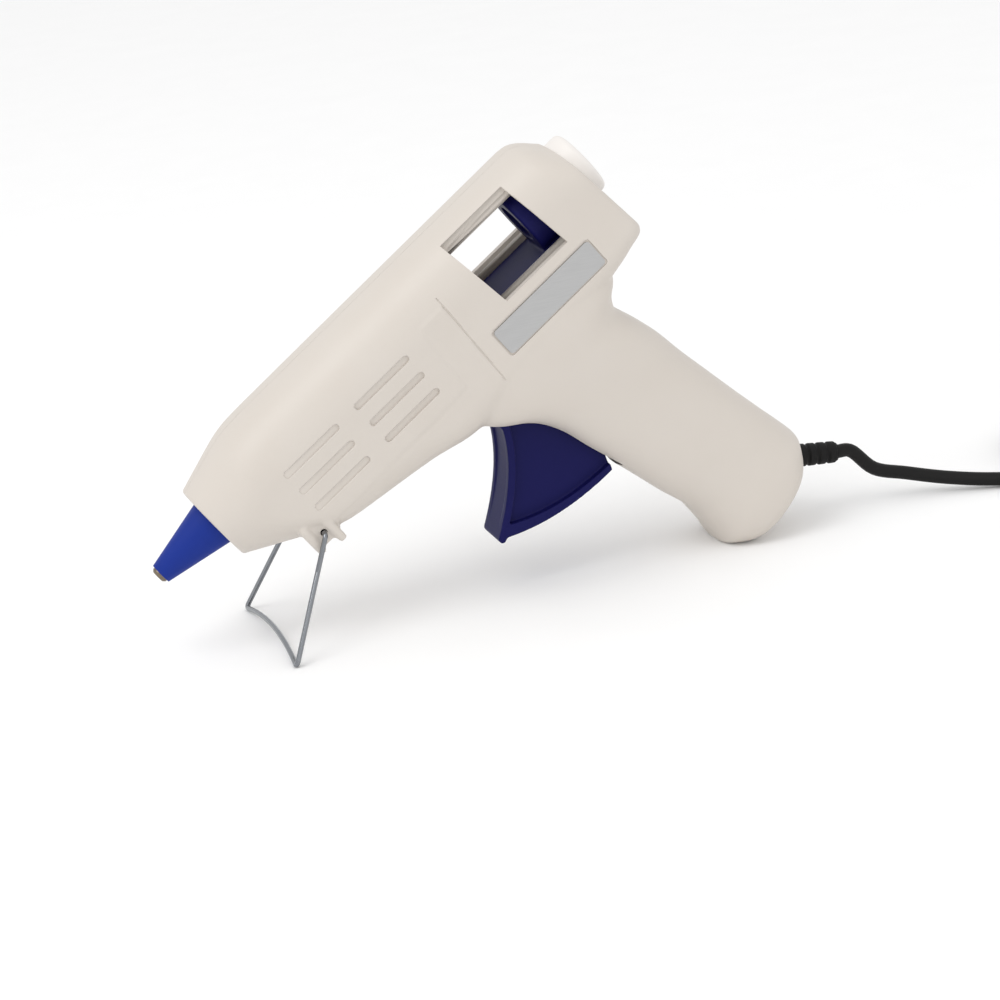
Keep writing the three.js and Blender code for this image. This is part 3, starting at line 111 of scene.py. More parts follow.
# %% [markdown]
# The gun was lit softly from above and from the left, so that its top is brightest and its flat side is an
# even cream. A white room gives nearly all of it, and two large soft lamps give the rest.

# %% Light
room_strength = 0.92
scene = bpy.context.scene
scene.view_settings.view_transform = "Standard"
world = bpy.data.worlds.new("white_room")
scene.world = world
world.use_nodes = True
room = world.node_tree.nodes["Background"]
room.inputs["Color"].default_value = (1, 1, 1, 1)
room.inputs["Strength"].default_value = room_strength


def soft_lamp(name, place, size, watts):
    """A square area lamp that looks at the gun."""
    data = bpy.data.lights.new(name, "AREA")
    data.size = size
    data.energy = watts
    lamp = bpy.data.objects.new(name, data)
    bpy.context.scene.collection.objects.link(lamp)
    look = (Vector((0, 0, 0.06)) - Vector(place)).to_track_quat("-Z", "Y")
    lamp.matrix_world = Matrix.Translation(place) @ look.to_matrix().to_4x4()
    return lamp


soft_lamp("key_lamp", (-0.75, -0.35, 1.25), size=0.9, watts=6)
soft_lamp("front_lamp", (0.1, -1.6, 0.7), size=1.2, watts=1.5)
print("lamps placed")

# %% [markdown]
# Colours are written as the screen shows them, in sRGB hex. One function turns them to the linear values
# that the shader works in, and one adds a node with its settings and its links.


# %% Colour and node helpers
def to_linear(hex_colour):
    """sRGB hex to linear RGBA."""
    parts = [int(hex_colour[i : i + 2], 16) / 255 for i in (1, 3, 5)]
    return [p / 12.92 if p <= 0.04045 else ((p + 0.055) / 1.055) ** 2.4 for p in parts] + [1]


def add_node(material, kind, settings=None, **inputs):
    """A node of a kind. An input is a value or a (node, output) pair to link from. _ stands for a space."""
    tree = material.node_tree
    node = tree.nodes.new(kind)
    for key, value in (settings or {}).items():
        setattr(node, key, value)
    for key, value in inputs.items():
        socket = node.inputs[int(key[1:])] if key[1:].isdigit() else node.inputs[key.replace("_", " ")]
        if isinstance(value, tuple) and isinstance(value[0], bpy.types.Node):
            tree.links.new(value[0].outputs[value[1]], socket)
        else:
            socket.default_value = value
    return node


def new_material(name):
    """A material whose Principled shader is ready to be fed."""
    material = bpy.data.materials.new(name)
    material.use_nodes = True
    return material, material.node_tree.nodes["Principled BSDF"]


mottle_mm = 18
gloss_drift = 0.05


def moulded(name, colour, shade, roughness, grain_mm, grain_depth, shine=0.5):
    """A moulded plastic: its colour drifts a little over the part, and the mould's fine grain is a bump."""
    material, shader = new_material(name)
    place = add_node(material, "ShaderNodeTexCoord")
    drift = add_node(
        material, "ShaderNodeTexNoise", Vector=(place, "Object"), Scale=1000 / mottle_mm, Detail=3.0
    )
    mixed = add_node(
        material,
        "ShaderNodeMix",
        {"data_type": "RGBA"},
        Factor=(drift, "Fac"),
        _6=to_linear(colour),
        _7=to_linear(shade),
    )
    grain = add_node(
        material, "ShaderNodeTexNoise", Vector=(place, "Object"), Scale=1000 / grain_mm, Detail=2.0
    )
    gloss = add_node(
        material,
        "ShaderNodeMapRange",
        Value=(grain, "Fac"),
        To_Min=roughness - gloss_drift,
        To_Max=roughness + gloss_drift,
    )
    bump = add_node(
        material,
        "ShaderNodeBump",
        Height=(grain, "Fac"),
        Strength=0.35,
        Distance=grain_depth * 0.001,
    )
    links = material.node_tree.links
    links.new(mixed.outputs["Result"], shader.inputs["Base Color"])
    links.new(gloss.outputs["Result"], shader.inputs["Roughness"])
    links.new(bump.outputs["Normal"], shader.inputs["Normal"])
    shader.inputs["Specular IOR Level"].default_value = shine
    return material


def metal(name, colour, shade, roughness, grain_mm, stretch=(1, 1, 1)):
    """A metal: fine lines or specks from its making change its gloss and its surface a little."""
    material, shader = new_material(name)
    place = add_node(material, "ShaderNodeTexCoord")
    lines = add_node(
        material,
        "ShaderNodeMapping",
        Vector=(place, "Object"),
        Scale=[1000 / grain_mm * s for s in stretch],
    )
    grain = add_node(material, "ShaderNodeTexNoise", Vector=(lines, "Vector"), Scale=1.0, Detail=4.0)
    mixed = add_node(
        material,
        "ShaderNodeMix",
        {"data_type": "RGBA"},
        Factor=(grain, "Fac"),
        _6=to_linear(colour),
        _7=to_linear(shade),
    )
    gloss = add_node(
        material,
        "ShaderNodeMapRange",
        Value=(grain, "Fac"),
        To_Min=max(roughness - 0.06, 0.03),
        To_Max=roughness + 0.08,
    )
    bump = add_node(
        material, "ShaderNodeBump", Height=(grain, "Fac"), Strength=0.15, Distance=0.00004
    )
    links = material.node_tree.links
    links.new(mixed.outputs["Result"], shader.inputs["Base Color"])
    links.new(gloss.outputs["Result"], shader.inputs["Roughness"])
    links.new(bump.outputs["Normal"], shader.inputs["Normal"])
    shader.inputs["Metallic"].default_value = 1
    return material


# %% [markdown]
# The housing is ABS moulded in ivory. A spark-eroded mould leaves a very fine grain, so it shines softly and
# never like glass. The grain is about 0.4 mm here, a little coarser than the real one, so that it shows.
# The navy and black parts are drawn with less shine than plain ABS and PVC have, because in the picture
# they stay deep in colour under an all white room.

# %% Finishes of the gun
ivory_abs = moulded("ivory_moulded_abs", "#d1cac2", "#cdc5bc", 0.46, 0.45, 0.03)
collar_abs = moulded("collar_ivory_abs", "#e9e5e1", "#e4dfda", 0.42, 0.5, 0.02)
sleeve_rubber = moulded("blue_silicone_sleeve", "#12308f", "#102b82", 0.52, 0.6, 0.03, shine=0.2)
navy_abs = moulded("navy_moulded_abs", "#141450", "#111148", 0.48, 0.5, 0.02, shine=0.12)
black_pvc = moulded("black_cord_pvc", "#0c0b0b", "#100f0e", 0.55, 0.5, 0.03, shine=0.25)
black_rubber = moulded("black_relief_rubber", "#0b0a0a", "#0f0e0e", 0.62, 0.6, 0.04, shine=0.25)
red_silicone = moulded("red_feed_silicone", "#c8452f", "#b93d29", 0.6, 0.8, 0.03)
red_lead = moulded("red_lead_glass_braid", "#8a2f22", "#7c281c", 0.7, 0.4, 0.05)
blue_lead = moulded("blue_lead_glass_braid", "#2d4d9a", "#26438a", 0.7, 0.4, 0.05)
heater_ceramic = moulded("grey_heater_ceramic", "#6b6660", "#5e5954", 0.8, 0.7, 0.05)
# The wire's base colour is painted darker than bright nickel is: a painted reflection that stands in for dark
# surroundings mirrored in its chrome, since this room is all white.
chrome_wire = metal("nickel_wire_painted_dark_reflection", "#8d9094", "#82858a", 0.14, 3)
nozzle_brass = metal("heat_stained_brass", "#948877", "#655a4d", 0.32, 1.2)
label_silver = metal("brushed_silver_foil", "#bdbdbd", "#b2b2b2", 0.42, 0.25, (0.04, 1, 1))
cast_aluminium = metal("cast_aluminium", "#b8babd", "#a3a5a8", 0.45, 0.8)
zinc_steel = metal("zinc_plated_steel", "#a7abae", "#9a9ea1", 0.3, 1)
print("materials:", len(bpy.data.materials))

# %% [markdown]
# A photographer's table is a plain pale sheet. It is no part of the object, and it is so wide that its edge
# never shows.

# %% Floor
floor_paper, floor_shader = new_material("white_table_paper")
floor_place = add_node(floor_paper, "ShaderNodeTexCoord")
floor_fibre = add_node(floor_paper, "ShaderNodeTexNoise", Vector=(floor_place, "Object"), Scale=40.0)
floor_tone = add_node(
    floor_paper,
    "ShaderNodeMix",
    {"data_type": "RGBA"},
    Factor=(floor_fibre, "Fac"),
    _6=to_linear("#fbfbfb"),
    _7=to_linear("#f8f8f8"),
)
floor_paper.node_tree.links.new(floor_tone.outputs["Result"], floor_shader.inputs["Base Color"])
floor_shader.inputs["Roughness"].default_value = 0.9
bpy.ops.mesh.primitive_plane_add(size=8, location=(0, 0, 0))
floor = bpy.context.object
floor.name = "table_paper"
floor.data.materials.append(floor_paper)

# %% [markdown]
# ## The cord
# A glue gun of this kind has about 1 m of thin round cord. The picture shows only the first few
# centimetres, so the rest is wound into a neat flat coil beside the gun, out of the camera's view, with its
# plug next to it. The route is the CAD's own: out of the heel along the strain relief, down to the table,
# six turns in two layers, and on to the plug. A smooth curve goes through the points, and a round tube
# follows it.

# %% The cord's route
cord_radius = 2.2
cord_pitch = 4.95
coil_radius = 28.6
coil_turns = 6
coil_middle_y = 6
relief_tilt = math.radians(-40.8)
relief_start = (168, -123.2)


def relief_place(distance):
    """A point on the strain relief's own axis, that far from the heel."""
    x = relief_start[0] + distance * math.cos(relief_tilt)
    z = relief_start[1] + distance * math.sin(relief_tilt)
    return gun_point(x, 0, z) * 1000


cord_exit = relief_place(14.3)
coil_start_x = cord_exit.x + 97
lead_end_x = coil_start_x - 4.7
lead_points = [cord_exit, relief_place(18.7)]
for away, aside, height in [
    (12, -0.6, 10.9),
    (22, -2.6, 7.7),
    (34, -7, 4.7),
    (47, -13, 2.9),
    (61, -19, 2.3),
]:
    lead_points.append(Vector((cord_exit.x + away, aside, height)))
coil_side_y = coil_middle_y - coil_radius
lead_points.append(Vector((lead_end_x - 4.4, coil_side_y, 2.2)))
lead_points.append(Vector((lead_end_x, coil_side_y, 2.2)))


def rounded_path(points, steps):
    """Centripetal Catmull-Rom curve through the points, with steps to each span."""
    ends = [points[0] * 2 - points[1], *points, points[-1] * 2 - points[-2]]
    path = []
    for a, b, c, d in zip(ends, ends[1:], ends[2:], ends[3:]):
        t0 = 0
        t1 = t0 + math.sqrt((b - a).length)
        t2 = t1 + math.sqrt((c - b).length)
        t3 = t2 + math.sqrt((d - c).length)
        for i in range(steps):
            t = t1 + (t2 - t1) * i / steps
            ab = a.lerp(b, (t - t0) / (t1 - t0))
            bc = b.lerp(c, (t - t1) / (t2 - t1))
            cd = c.lerp(d, (t - t2) / (t3 - t2))
            abc = ab.lerp(bc, (t - t0) / (t2 - t0))
            bcd = bc.lerp(cd, (t - t1) / (t3 - t1))
            path.append(abc.lerp(bcd, (t - t1) / (t2 - t1)))
    return [*path, points[-1].copy()]


def smooth_step(value, low, high):
    share = min(max((value - low) / (high - low), 0), 1)
    return share * share * (3 - 2 * share)


cord_route = rounded_path(lead_points, 6)
steps_per_turn = 36
for i in range(coil_turns * steps_per_turn + 1):
    turns = i / steps_per_turn
    radius = coil_radius - cord_pitch * min(turns, coil_turns - turns)
    angle = 2 * math.pi * turns - math.pi / 2
    height = 2.2 + cord_pitch * smooth_step(turns, 2.75, 3.25)
    cord_route.append(
        Vector((coil_start_x + radius * math.cos(angle), coil_middle_y + radius * math.sin(angle), height))
    )
plug_start_x = coil_start_x + 31.6
cord_route.append(Vector((plug_start_x - 0.3, coil_side_y, 7.15)))

# %% Deselect, tube and settle helpers


def deselect():
    """Leaves edit mode and selects nothing, so that an operator acts only on what follows."""
    if bpy.context.object and bpy.context.object.mode != "OBJECT":
        bpy.ops.object.mode_set(mode="OBJECT")
    bpy.ops.object.select_all(action="DESELECT")


def pick(piece):
    """Makes one piece the only selected and the active one."""
    deselect()
    piece.select_set(True)
    bpy.context.view_layer.objects.active = piece
    return piece


def apply_modifiers(piece):
    pick(piece)
    for modifier in list(piece.modifiers):
        bpy.ops.object.modifier_apply(modifier=modifier.name)
    return piece


def shade(piece, degrees):
    pick(piece)
    bpy.ops.object.shade_smooth_by_angle(angle=math.radians(degrees))
    return piece


def loft(name, rings):
    """A closed skin through rings of equally many points: a circle is added and pushed on ring by ring."""
    deselect()
    count = len(rings[0])
    bpy.ops.mesh.primitive_circle_add(vertices=count, radius=1, fill_type="NGON")
    piece = bpy.context.object
    piece.name = name
    bpy.ops.object.mode_set(mode="EDIT")
    bpy.ops.mesh.select_all(action="SELECT")
    for _ in rings[1:]:
        bpy.ops.mesh.extrude_region_move(TRANSFORM_OT_translate={"value": (0, 0, 1)})
    bpy.ops.object.mode_set(mode="OBJECT")
    flat = [value for ring in rings for point in ring for value in point]
    piece.data.vertices.foreach_set("co", flat)
    piece.data.update()
    bpy.ops.object.mode_set(mode="EDIT")
    bpy.ops.mesh.select_all(action="SELECT")
    bpy.ops.mesh.normals_make_consistent(inside=False)
    bpy.ops.object.mode_set(mode="OBJECT")
    return piece


def tube(name, path, radius, sides):
    """A round tube along a path, with its rings kept from twisting."""
    rings = []
    side = None
    for i, point in enumerate(path):
        ahead = (path[min(i + 1, len(path) - 1)] - path[max(i - 1, 0)]).normalized()
        if side is None:
            side = ahead.orthogonal()
        side = (side - ahead * side.dot(ahead)).normalized()
        other = ahead.cross(side)
        ring = []
        for k in range(sides):
            angle = 2 * math.pi * k / sides
            ring.append(point + side * (radius * math.cos(angle)) + other * (radius * math.sin(angle)))
        rings.append(ring)
    return loft(name, rings)


def settle(piece, body, material, replaces, place=to_frame, smooth=35):
    """Turns a finished piece into the frame, dresses it, and lets it ride on its body."""
    shade(piece, smooth)
    deselect()
    piece.data.transform(place)
    piece.data.update()
    piece.data.materials.clear()
    piece.data.materials.append(material)
    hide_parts(*replaces)
    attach(piece, body)
    print(piece.name, len(piece.data.polygons), "faces on", body)
    return piece


# %% The cord itself
cord = tube("mains_cord", cord_route, cord_radius, sides=16)
settle(cord, "housing", black_pvc, ("cord_lead", "cord_coil"), millimetres, 60)

# %% [markdown]
# ## The housing
# The real halves were moulded: a rounded barrel with flat sides, a cone for a nose, and a grip that swells
# at its butt. Each main form is a skin lofted through sections. The sections are the CAD's, and a smooth
# curve runs through each of their sizes, so that the fine skin has no flats between them.


# %% Section tables
def smooth_table(rows, key, column):
    """The value of a column at a key, on a curve through the rows that never overshoots them."""
    xs = [row[0] for row in rows]
    ys = [row[column] for row in rows]
    if key <= xs[0]:
        return ys[0]
    if key >= xs[-1]:
        return ys[-1]
    slopes = [(ys[i + 1] - ys[i]) / (xs[i + 1] - xs[i]) for i in range(len(xs) - 1)]
    tangents = [slopes[0]]
    for a, b in zip(slopes, slopes[1:]):
        tangents.append(0 if a * b <= 0 else 2 * a * b / (a + b))
    tangents.append(slopes[-1])
    i = next(k for k in range(len(xs) - 1) if key <= xs[k + 1])
    width = xs[i + 1] - xs[i]
    t = (key - xs[i]) / width
    return (
        ys[i] * (1 + 2 * t) * (1 - t) ** 2
        + tangents[i] * width * t * (1 - t) ** 2
        + ys[i + 1] * t * t * (3 - 2 * t)
        + tangents[i + 1] * width * t * t * (t - 1)
    )


# x, top, half width, depth, lower corner radius
barrel_rows = [
    (20, 19.2, 18.6, 20.0, 9.5),
    (43, 19.2, 19.0, 24.5, 9.4),
    (48, 19.2, 19.1, 25.5, 9.0),
    (58.1, 19.2, 19.2, 27.0, 9.0),
    (83.4, 19.2, 19.45, 31.0, 9.0),
    (99.5, 19.2, 19.5, 34.7, 9.0),
    (144.8, 19.2, 19.5, 31.9, 8.1),
    (163.2, 19.2, 19.5, 28.1, 6.8),
    (166.9, 18.8, 19.5, 27.0, 6.3),
    (169.7, 17.4, 19.5, 26.0, 5.9),
    (172.1, 15.1, 19.4, 25.3, 5.4),
    (174.1, 12.6, 19.1, 24.5, 5.0),
    (175.5, 11.0, 18.1, 22.9, 4.5),
]
barrel_rear = 175.5
top_roundness = 2.35


def barrel_ring(x, inset=0):
    """One section of the barrel: rounded top, flat sides, softer lower edge, cut by the nose's cone."""
    top, half, depth, corner = (smooth_table(barrel_rows, x, column) for column in (1, 2, 3, 4))
    top, half, depth = top - inset, half - inset, depth - inset
    corner = max(corner - inset, corner / 4)
    power = 2 / top_roundness
    points = []
    arc_steps = 48
    for i in range(arc_steps + 1):
        angle = math.pi * i / arc_steps
        c, s = math.cos(angle), math.sin(angle)
        points.append((half * math.copysign(abs(c) ** power, c), top * abs(s) ** power))
    side_steps = 14
    corner_steps = 8
    bottom_steps = 10
    low = -(depth - corner)
    for i in range(1, side_steps):
        points.append((-half, low * i / side_steps))
    for i in range(corner_steps + 1):
        angle = math.pi / 2 * i / corner_steps
        points.append((-(half - corner) - corner * math.cos(angle), low - corner * math.sin(angle)))
    for i in range(1, bottom_steps):
        points.append((-(half - corner) + 2 * (half - corner) * i / bottom_steps, -depth))
    for i in range(corner_steps, -1, -1):
        angle = math.pi / 2 * i / corner_steps
        points.append(((half - corner) + corner * math.cos(angle), low - corner * math.sin(angle)))
    for i in range(side_steps - 1, 0, -1):
        points.append((half, low * i / side_steps))
    along = x - 23
    wide = 14.4 + 0.44 * along - inset
    tall = 13.5 + 0.42 * along - inset
    middle = -0.1 - 0.1275 * along
    if along < 0:
        drop = 1 - math.sqrt(max(1 - along * along, 0))
        wide, tall = wide - 0.44 * along - drop, tall - 0.42 * along - drop
        middle = -0.1
    sharp = 30
    cut = []
    for y, z in points:
        reach = math.hypot(y / wide, (z - middle) / tall)
        scale = (1 + reach**sharp) ** (-1 / sharp)
        cut.append((y * scale, middle + (z - middle) * scale))
    points = cut
    lean = 0.1 * min(max((x - 144.8) / 30.7, 0), 1)
    return [Vector((x - lean * z, y, z)) for y, z in points]


def spread(start, end, step):
    count = max(1, round((end - start) / step))
    return [start + (end - start) * i / count for i in range(count + 1)]


nose_steps = [22, 22.03, 22.12, 22.27, 22.5, 22.75, 23]
barrel_steps = nose_steps + spread(23.5, 52, 0.5) + spread(53.5, 160, 1.5) + spread(160.5, barrel_rear, 0.5)
barrel = loft("barrel_skin", [barrel_ring(x) for x in barrel_steps])
print("barrel", len(barrel.data.polygons), "faces")

# %% Grip
# down, front, back, half width, tilt of the section, roundness of the section
grip_rows = [
    (12.3, 103.0, 158.7, 19.45, 0, 4.5),
    (24.6, 101.4, 163.7, 19.45, 0, 4.5),
    (30.1, 100.05, 162.5, 19.4, 0, 4.2),
    (34.4, 100.4, 158.2, 19.25, 0, 4.0),
    (39.3, 103.7, 156.2, 18.92, 0, 3.8),
    (44.8, 110.6, 157.7, 18.5, 0, 3.6),
    (50.7, 115.2, 159.7, 17.97, 0, 3.4),
    (57.3, 118.0, 161.4, 17.37, 0, 3.2),
    (66.3, 120.1, 162.75, 16.77, 0, 3.0),
    (79.8, 124.4, 165.1, 16.5, 0.05, 2.9),
    (93.5, 128.2, 167.4, 16.9, 0.12, 2.9),
    (105.8, 131.6, 169.5, 17.6, 0.2, 2.9),
    (113.3, 131.6, 171.1, 18.6, 0.2, 2.9),
    (119.2, 131.0, 172.0, 19.4, 0.2, 2.9),
    (123.3, 133.9, 170.0, 19.5, 0.2, 2.8),
    (126.0, 137.1, 167.5, 18.6, 0.2, 2.7),
    (127.6, 140.7, 163.1, 16.4, 0.2, 2.6),
]
grip_top = 12.3
grip_end = 127.6
grip_middle = 147


def grip_ring(down, inset=0):
    """One section of the grip: an oblong that is fuller than an ellipse."""
    front, back, half, slope, power = (smooth_table(grip_rows, down, column) for column in (1, 2, 3, 4, 5))
    front, back, half = front + inset, back - inset, half - inset
    middle, reach = (front + back) / 2, (back - front) / 2
    points = []
    steps = 96
    for i in range(steps):
        angle = 2 * math.pi * i / steps
        c, s = math.cos(angle), math.sin(angle)
        x = middle + reach * math.copysign(abs(c) ** (2 / power), c)
        y = half * math.copysign(abs(s) ** (2 / power), s)
        points.append(Vector((x, y, -down + slope * (x - grip_middle))))
    return points


grip_steps = spread(grip_top, 117, 1.2) + spread(117.6, grip_end, 0.5)
grip = loft("grip_skin", [grip_ring(down) for down in grip_steps])
print("grip", len(grip.data.polygons), "faces")

# %% [markdown]
# Under the nose two short ribs stand round the holes of the wire stand. They are blocks with rounded edges,
# let into the barrel's lower edge, and a low saddle joins them.


# %% Rounded blocks and lugs
def block(name, low, high, edge=0):
    """A cube at its size and place, with its edges rounded."""
    deselect()
    middle = [(a + b) / 2 for a, b in zip(low, high)]
    bpy.ops.mesh.primitive_cube_add(size=1, location=middle)
    piece = bpy.context.object
    piece.name = name
    bpy.ops.object.mode_set(mode="EDIT")
    bpy.ops.mesh.select_all(action="SELECT")
    size = [b - a for a, b in zip(low, high)]
    bpy.ops.transform.resize(value=size, center_override=middle)
    if edge:
        bpy.ops.mesh.bevel(offset=edge, segments=3, affect="EDGES")
    bpy.ops.object.mode_set(mode="OBJECT")
    bake_place(piece)
    return piece


def bake_place(piece):
    """Moves the object's own place into its mesh."""
    piece.data.transform(piece.matrix_basis)
    piece.matrix_basis = Matrix.Identity(4)
    return piece


lugs = []
for side in (-1, 1):
    for number, (x0, x1, low) in enumerate([(38.4, 41.1, -25.6), (45.6, 48.3, -27.1)]):
        y0, y1 = sorted((side * 9.5, side * 18.6))
        lugs.append(block(f"lug_{number}_{side}", (x0, y0, low), (x1, y1, -15), 0.8))
    y0, y1 = sorted((side * 9.8, side * 17.4))
    lugs.append(block(f"saddle_{side}", (40.5, y0, -24.6), (46.5, y1, -16), 0.6))
print("lugs and saddles:", len(lugs))


# %% [markdown]
# The parts of the skin are joined, and the joined skin is remeshed to small even faces and smoothed. That
# gives the soft fillet that a mould has wherever two forms meet. Under the barrel, where the grip runs into
# it, the skin is smoothed much more, into one wide bend.


# %% Join the skin
def boolean(piece, others, operation):
    """Adds, cuts or keeps what is shared between closed skins, and then removes the tools."""
    group = bpy.data.collections.new("tools")
    for other in others:
        group.objects.link(other)
    modifier = piece.modifiers.new("boolean", "BOOLEAN")
    modifier.operation = operation
    modifier.solver = "MANIFOLD"
    modifier.operand_type = "COLLECTION"
    modifier.collection = group
    apply_modifiers(piece)
    bpy.data.collections.remove(group)
    for other in others:
        bpy.data.objects.remove(other)
    return piece


def union(piece, others):
    for other in others:
        boolean(piece, [other], "UNION")
    return piece


skin_grain = 0.65
skin_passes = 3
bend_passes = 60
skin = union(barrel, [grip, *lugs])
skin.name = "housing_skin"
remesh = skin.modifiers.new("even", "REMESH")
remesh.mode = "VOXEL"
remesh.voxel_size = skin_grain
remesh.use_smooth_shade = True
smooth = skin.modifiers.new("soft", "SMOOTH")
smooth.factor = 0.5
smooth.iterations = skin_passes
apply_modifiers(skin)

bend_places = skin.vertex_groups.new(name="underside_bend")
for vertex in skin.data.vertices:
    x, y, z = vertex.co
    share = smooth_step(x, 84, 94) * (1 - smooth_step(x, 112, 122))
    share *= smooth_step(-z, 26, 32) * (1 - smooth_step(-z, 46, 56))
    if share > 0:
        bend_places.add([vertex.index], share, "REPLACE")
blend = skin.modifiers.new("one_wide_bend", "SMOOTH")
blend.factor = 0.5
blend.iterations = bend_passes
blend.vertex_group = bend_places.name
apply_modifiers(skin)
print("housing skin", len(skin.data.polygons), "faces")

# %% [markdown]
# A low panel stands a quarter of a millimetre proud on each side of the barrel, and a flat band lies behind
# it. The panel's rear and lower edges are small steps, and towards the top and the nose it sinks back into
# the curve. The skin's own points are moved out for both, so their edges stay as soft as the mould's.


# %% Outlines and plates
def rounded(points, radius, steps=5):
    """The outline with its corners made arcs. The radius is one number or a list, one for each corner."""
    result = []
    for i, corner in enumerate(points):
        corner = Vector(corner)
        wanted = radius[i] if isinstance(radius, (list, tuple)) else radius
        if wanted <= 0:
            result.append(tuple(corner))
            continue
        back = Vector(points[i - 1]) - corner
        on = Vector(points[(i + 1) % len(points)]) - corner
        half = back.angle(on) / 2
        reach = min(wanted / math.tan(half), back.length * 0.45, on.length * 0.45)
        arc = reach * math.tan(half)
        centre = corner + (back.normalized() + on.normalized()).normalized() * (arc / math.sin(half))
        start = corner + back.normalized() * reach - centre
        end = corner + on.normalized() * reach - centre
        first = math.atan2(start.y, start.x)
        turn = (math.atan2(end.y, end.x) - first + math.pi) % (2 * math.pi) - math.pi
        for k in range(steps + 1):
            angle = first + turn * k / steps
            result.append((centre.x + arc * math.cos(angle), centre.y + arc * math.sin(angle)))
    return result


def plate(name, outline, low, high):
    """A plate with its outline in the side view, from one y to another."""
    return loft(name, [[Vector((x, y, z)) for x, z in outline] for y in (low, high)])


def round_outline(x, z, radius, sides):
    turns = [2 * math.pi * i / sides for i in range(sides)]
    return [(x + radius * math.cos(t), z + radius * math.sin(t)) for t in turns]


def bar(name, x, z, radius, low, high, sides=48):
    """A round bar across the gun."""
    return plate(name, round_outline(x, z, radius, sides), low, high)


# %% Raised side panels
panel_rise = 0.25
band_reach = 19.52
edge_width = 0.35
side_reach = 14


def inside_share(distance):
    """0 outside an edge and 1 inside it, with a small round step between."""
    return smooth_step(distance, -edge_width, edge_width)


for vertex in skin.data.vertices:
    x, y, z = vertex.co
    if abs(y) < side_reach:
        continue
    rear_edge = 105.2 + 0.0656 * (z + 19)
    low_edge = -20.5 + 0.0237 * (x - 42)
    band_end = 116.5 + 0.043 * (z - 5)
    on_panel = inside_share(rear_edge - x) * inside_share(z - low_edge)
    on_panel *= smooth_step(x, 43, 56) * (1 - smooth_step(z, 2, 12))
    on_band = inside_share(x - rear_edge) * inside_share(band_end - x)
    on_band *= inside_share(z + 25) * inside_share(5 - z)
    reach = abs(y) + panel_rise * on_panel
    reach += (max(band_reach, reach) - reach) * on_band
    vertex.co.y = math.copysign(reach, y)
skin.data.update()
print("with panels", len(skin.data.polygons), "faces")

# %% [markdown]
# The halves are shells with walls of about 2.2 mm. The hollow is one cutter, and each opening is another: the
# window, the trigger's slot, the round openings for nozzle, collar, wire and cord, six sunk vents on each
# side, the recess of the rating plate, and a thin line that runs down beside it.

# %% Cutters
wall = 2.15
through = 26


def inner_form(name, inset):
    """The form of the hollow, or of what may stand in it."""
    room = loft(f"{name}_barrel", [barrel_ring(x, inset) for x in spread(22 + inset, 173.3, 1.5)])
    return union(room, [loft(f"{name}_grip", [grip_ring(down, inset) for down in spread(12.3, 120.5, 2)])])


def turned(name, profile, steps=72, place=None):
    """A ring turned about the barrel's axis from a closed profile of (x, radius) points."""
    deselect()
    bpy.ops.mesh.primitive_circle_add(vertices=len(profile), radius=1, fill_type="NOTHING")
    piece = bpy.context.object
    piece.name = name
    piece.data.vertices.foreach_set("co", [value for x, r in profile for value in (x, r, 0)])
    bpy.ops.object.mode_set(mode="EDIT")
    bpy.ops.mesh.select_all(action="SELECT")
    bpy.ops.mesh.spin(steps=steps, angle=2 * math.pi, center=(0, 0, 0), axis=(1, 0, 0))
    bpy.ops.mesh.select_all(action="SELECT")
    bpy.ops.mesh.remove_doubles(threshold=0.0001)
    bpy.ops.mesh.normals_make_consistent(inside=False)
    bpy.ops.object.mode_set(mode="OBJECT")
    if place:
        piece.data.transform(place)
    return piece


def leaning(x, z):
    return (x - 0.12 * z, z)


def window_outline(low, high):
    corners = [leaning(131, low), leaning(156.6, low), leaning(156.6, high), leaning(131, high)]
    return corners


relief_frame = Matrix.Translation((relief_start[0], 0, relief_start[1])) @ Matrix.Rotation(
    -relief_tilt, 4, "Y"
)
label_room = rounded([(121.8, -22.4), (162.8, -22.4), (162.8, -12), (121.8, -12)], 1)
cutters = [
    inner_form("hollow", wall),
    plate("window_through", window_outline(-8.3, 12), -through, through),
    plate("window_left", window_outline(-8.3, 16.4), -through, -11.1),
    plate("window_right", window_outline(-8.3, 16.4), 11.1, through),
    plate(
        "trigger_slot",
        [(102.6, -28), (102.6, -53.6), (115.3, -79.2), (128, -79.2), (128, -28)],
        -8.5,
        8.5,
    ),
    turned("front_opening", [(20, 0), (20, 8.3), (26, 8.3), (26, 0)]),
    turned("inlet_room", [(162.5, 0), (162.5, 11.3), (182, 11.3), (182, 0)]),
    turned("relief_hole", [(-10.3, 0), (-10.3, 3.2), (10, 3.2), (10, 0)], place=relief_frame),
    bar("wire_hole", 44, -20.8, 1.1, -through, through, 32),
    plate("label_recess", label_room, -through, -19),
]
print("cutters:", len(cutters))

# %% Vents, side lines and ground
vent_length = 22.1
vent_width = 2.3
vent_floor = 19.0


def vent_outline(x, z):
    """A slot with round ends."""
    reach = vent_width / 2
    corners = [(x, z - reach), (x + vent_length, z - reach), (x + vent_length, z + reach), (x, z + reach)]
    return rounded(corners, reach * 0.999, 10)


for x in (47.4, 76.7):
    for z in (1.3, -5.85, -13):
        cutters.append(plate("vent_left", vent_outline(x, z), -through, -vent_floor))
        cutters.append(plate("vent_right", vent_outline(x, z), vent_floor, through))


def side_y(x, z):
    """How far out the barrel's side is at a place above its lower corner."""
    top, half = (smooth_table(barrel_rows, x, column) for column in (1, 2))
    return half * (1 - (max(z, 0) / top) ** top_roundness) ** (1 / top_roundness)


for side in (-1, 1):
    line = []
    for i in range(30):
        z = 8 - i * 40 / 29
        x = 117 + (8 - z) * -0.043
        line.append(Vector((x, side * side_y(x, z), z)))
    cutters.append(tube("side_line", line, 0.22, 10))

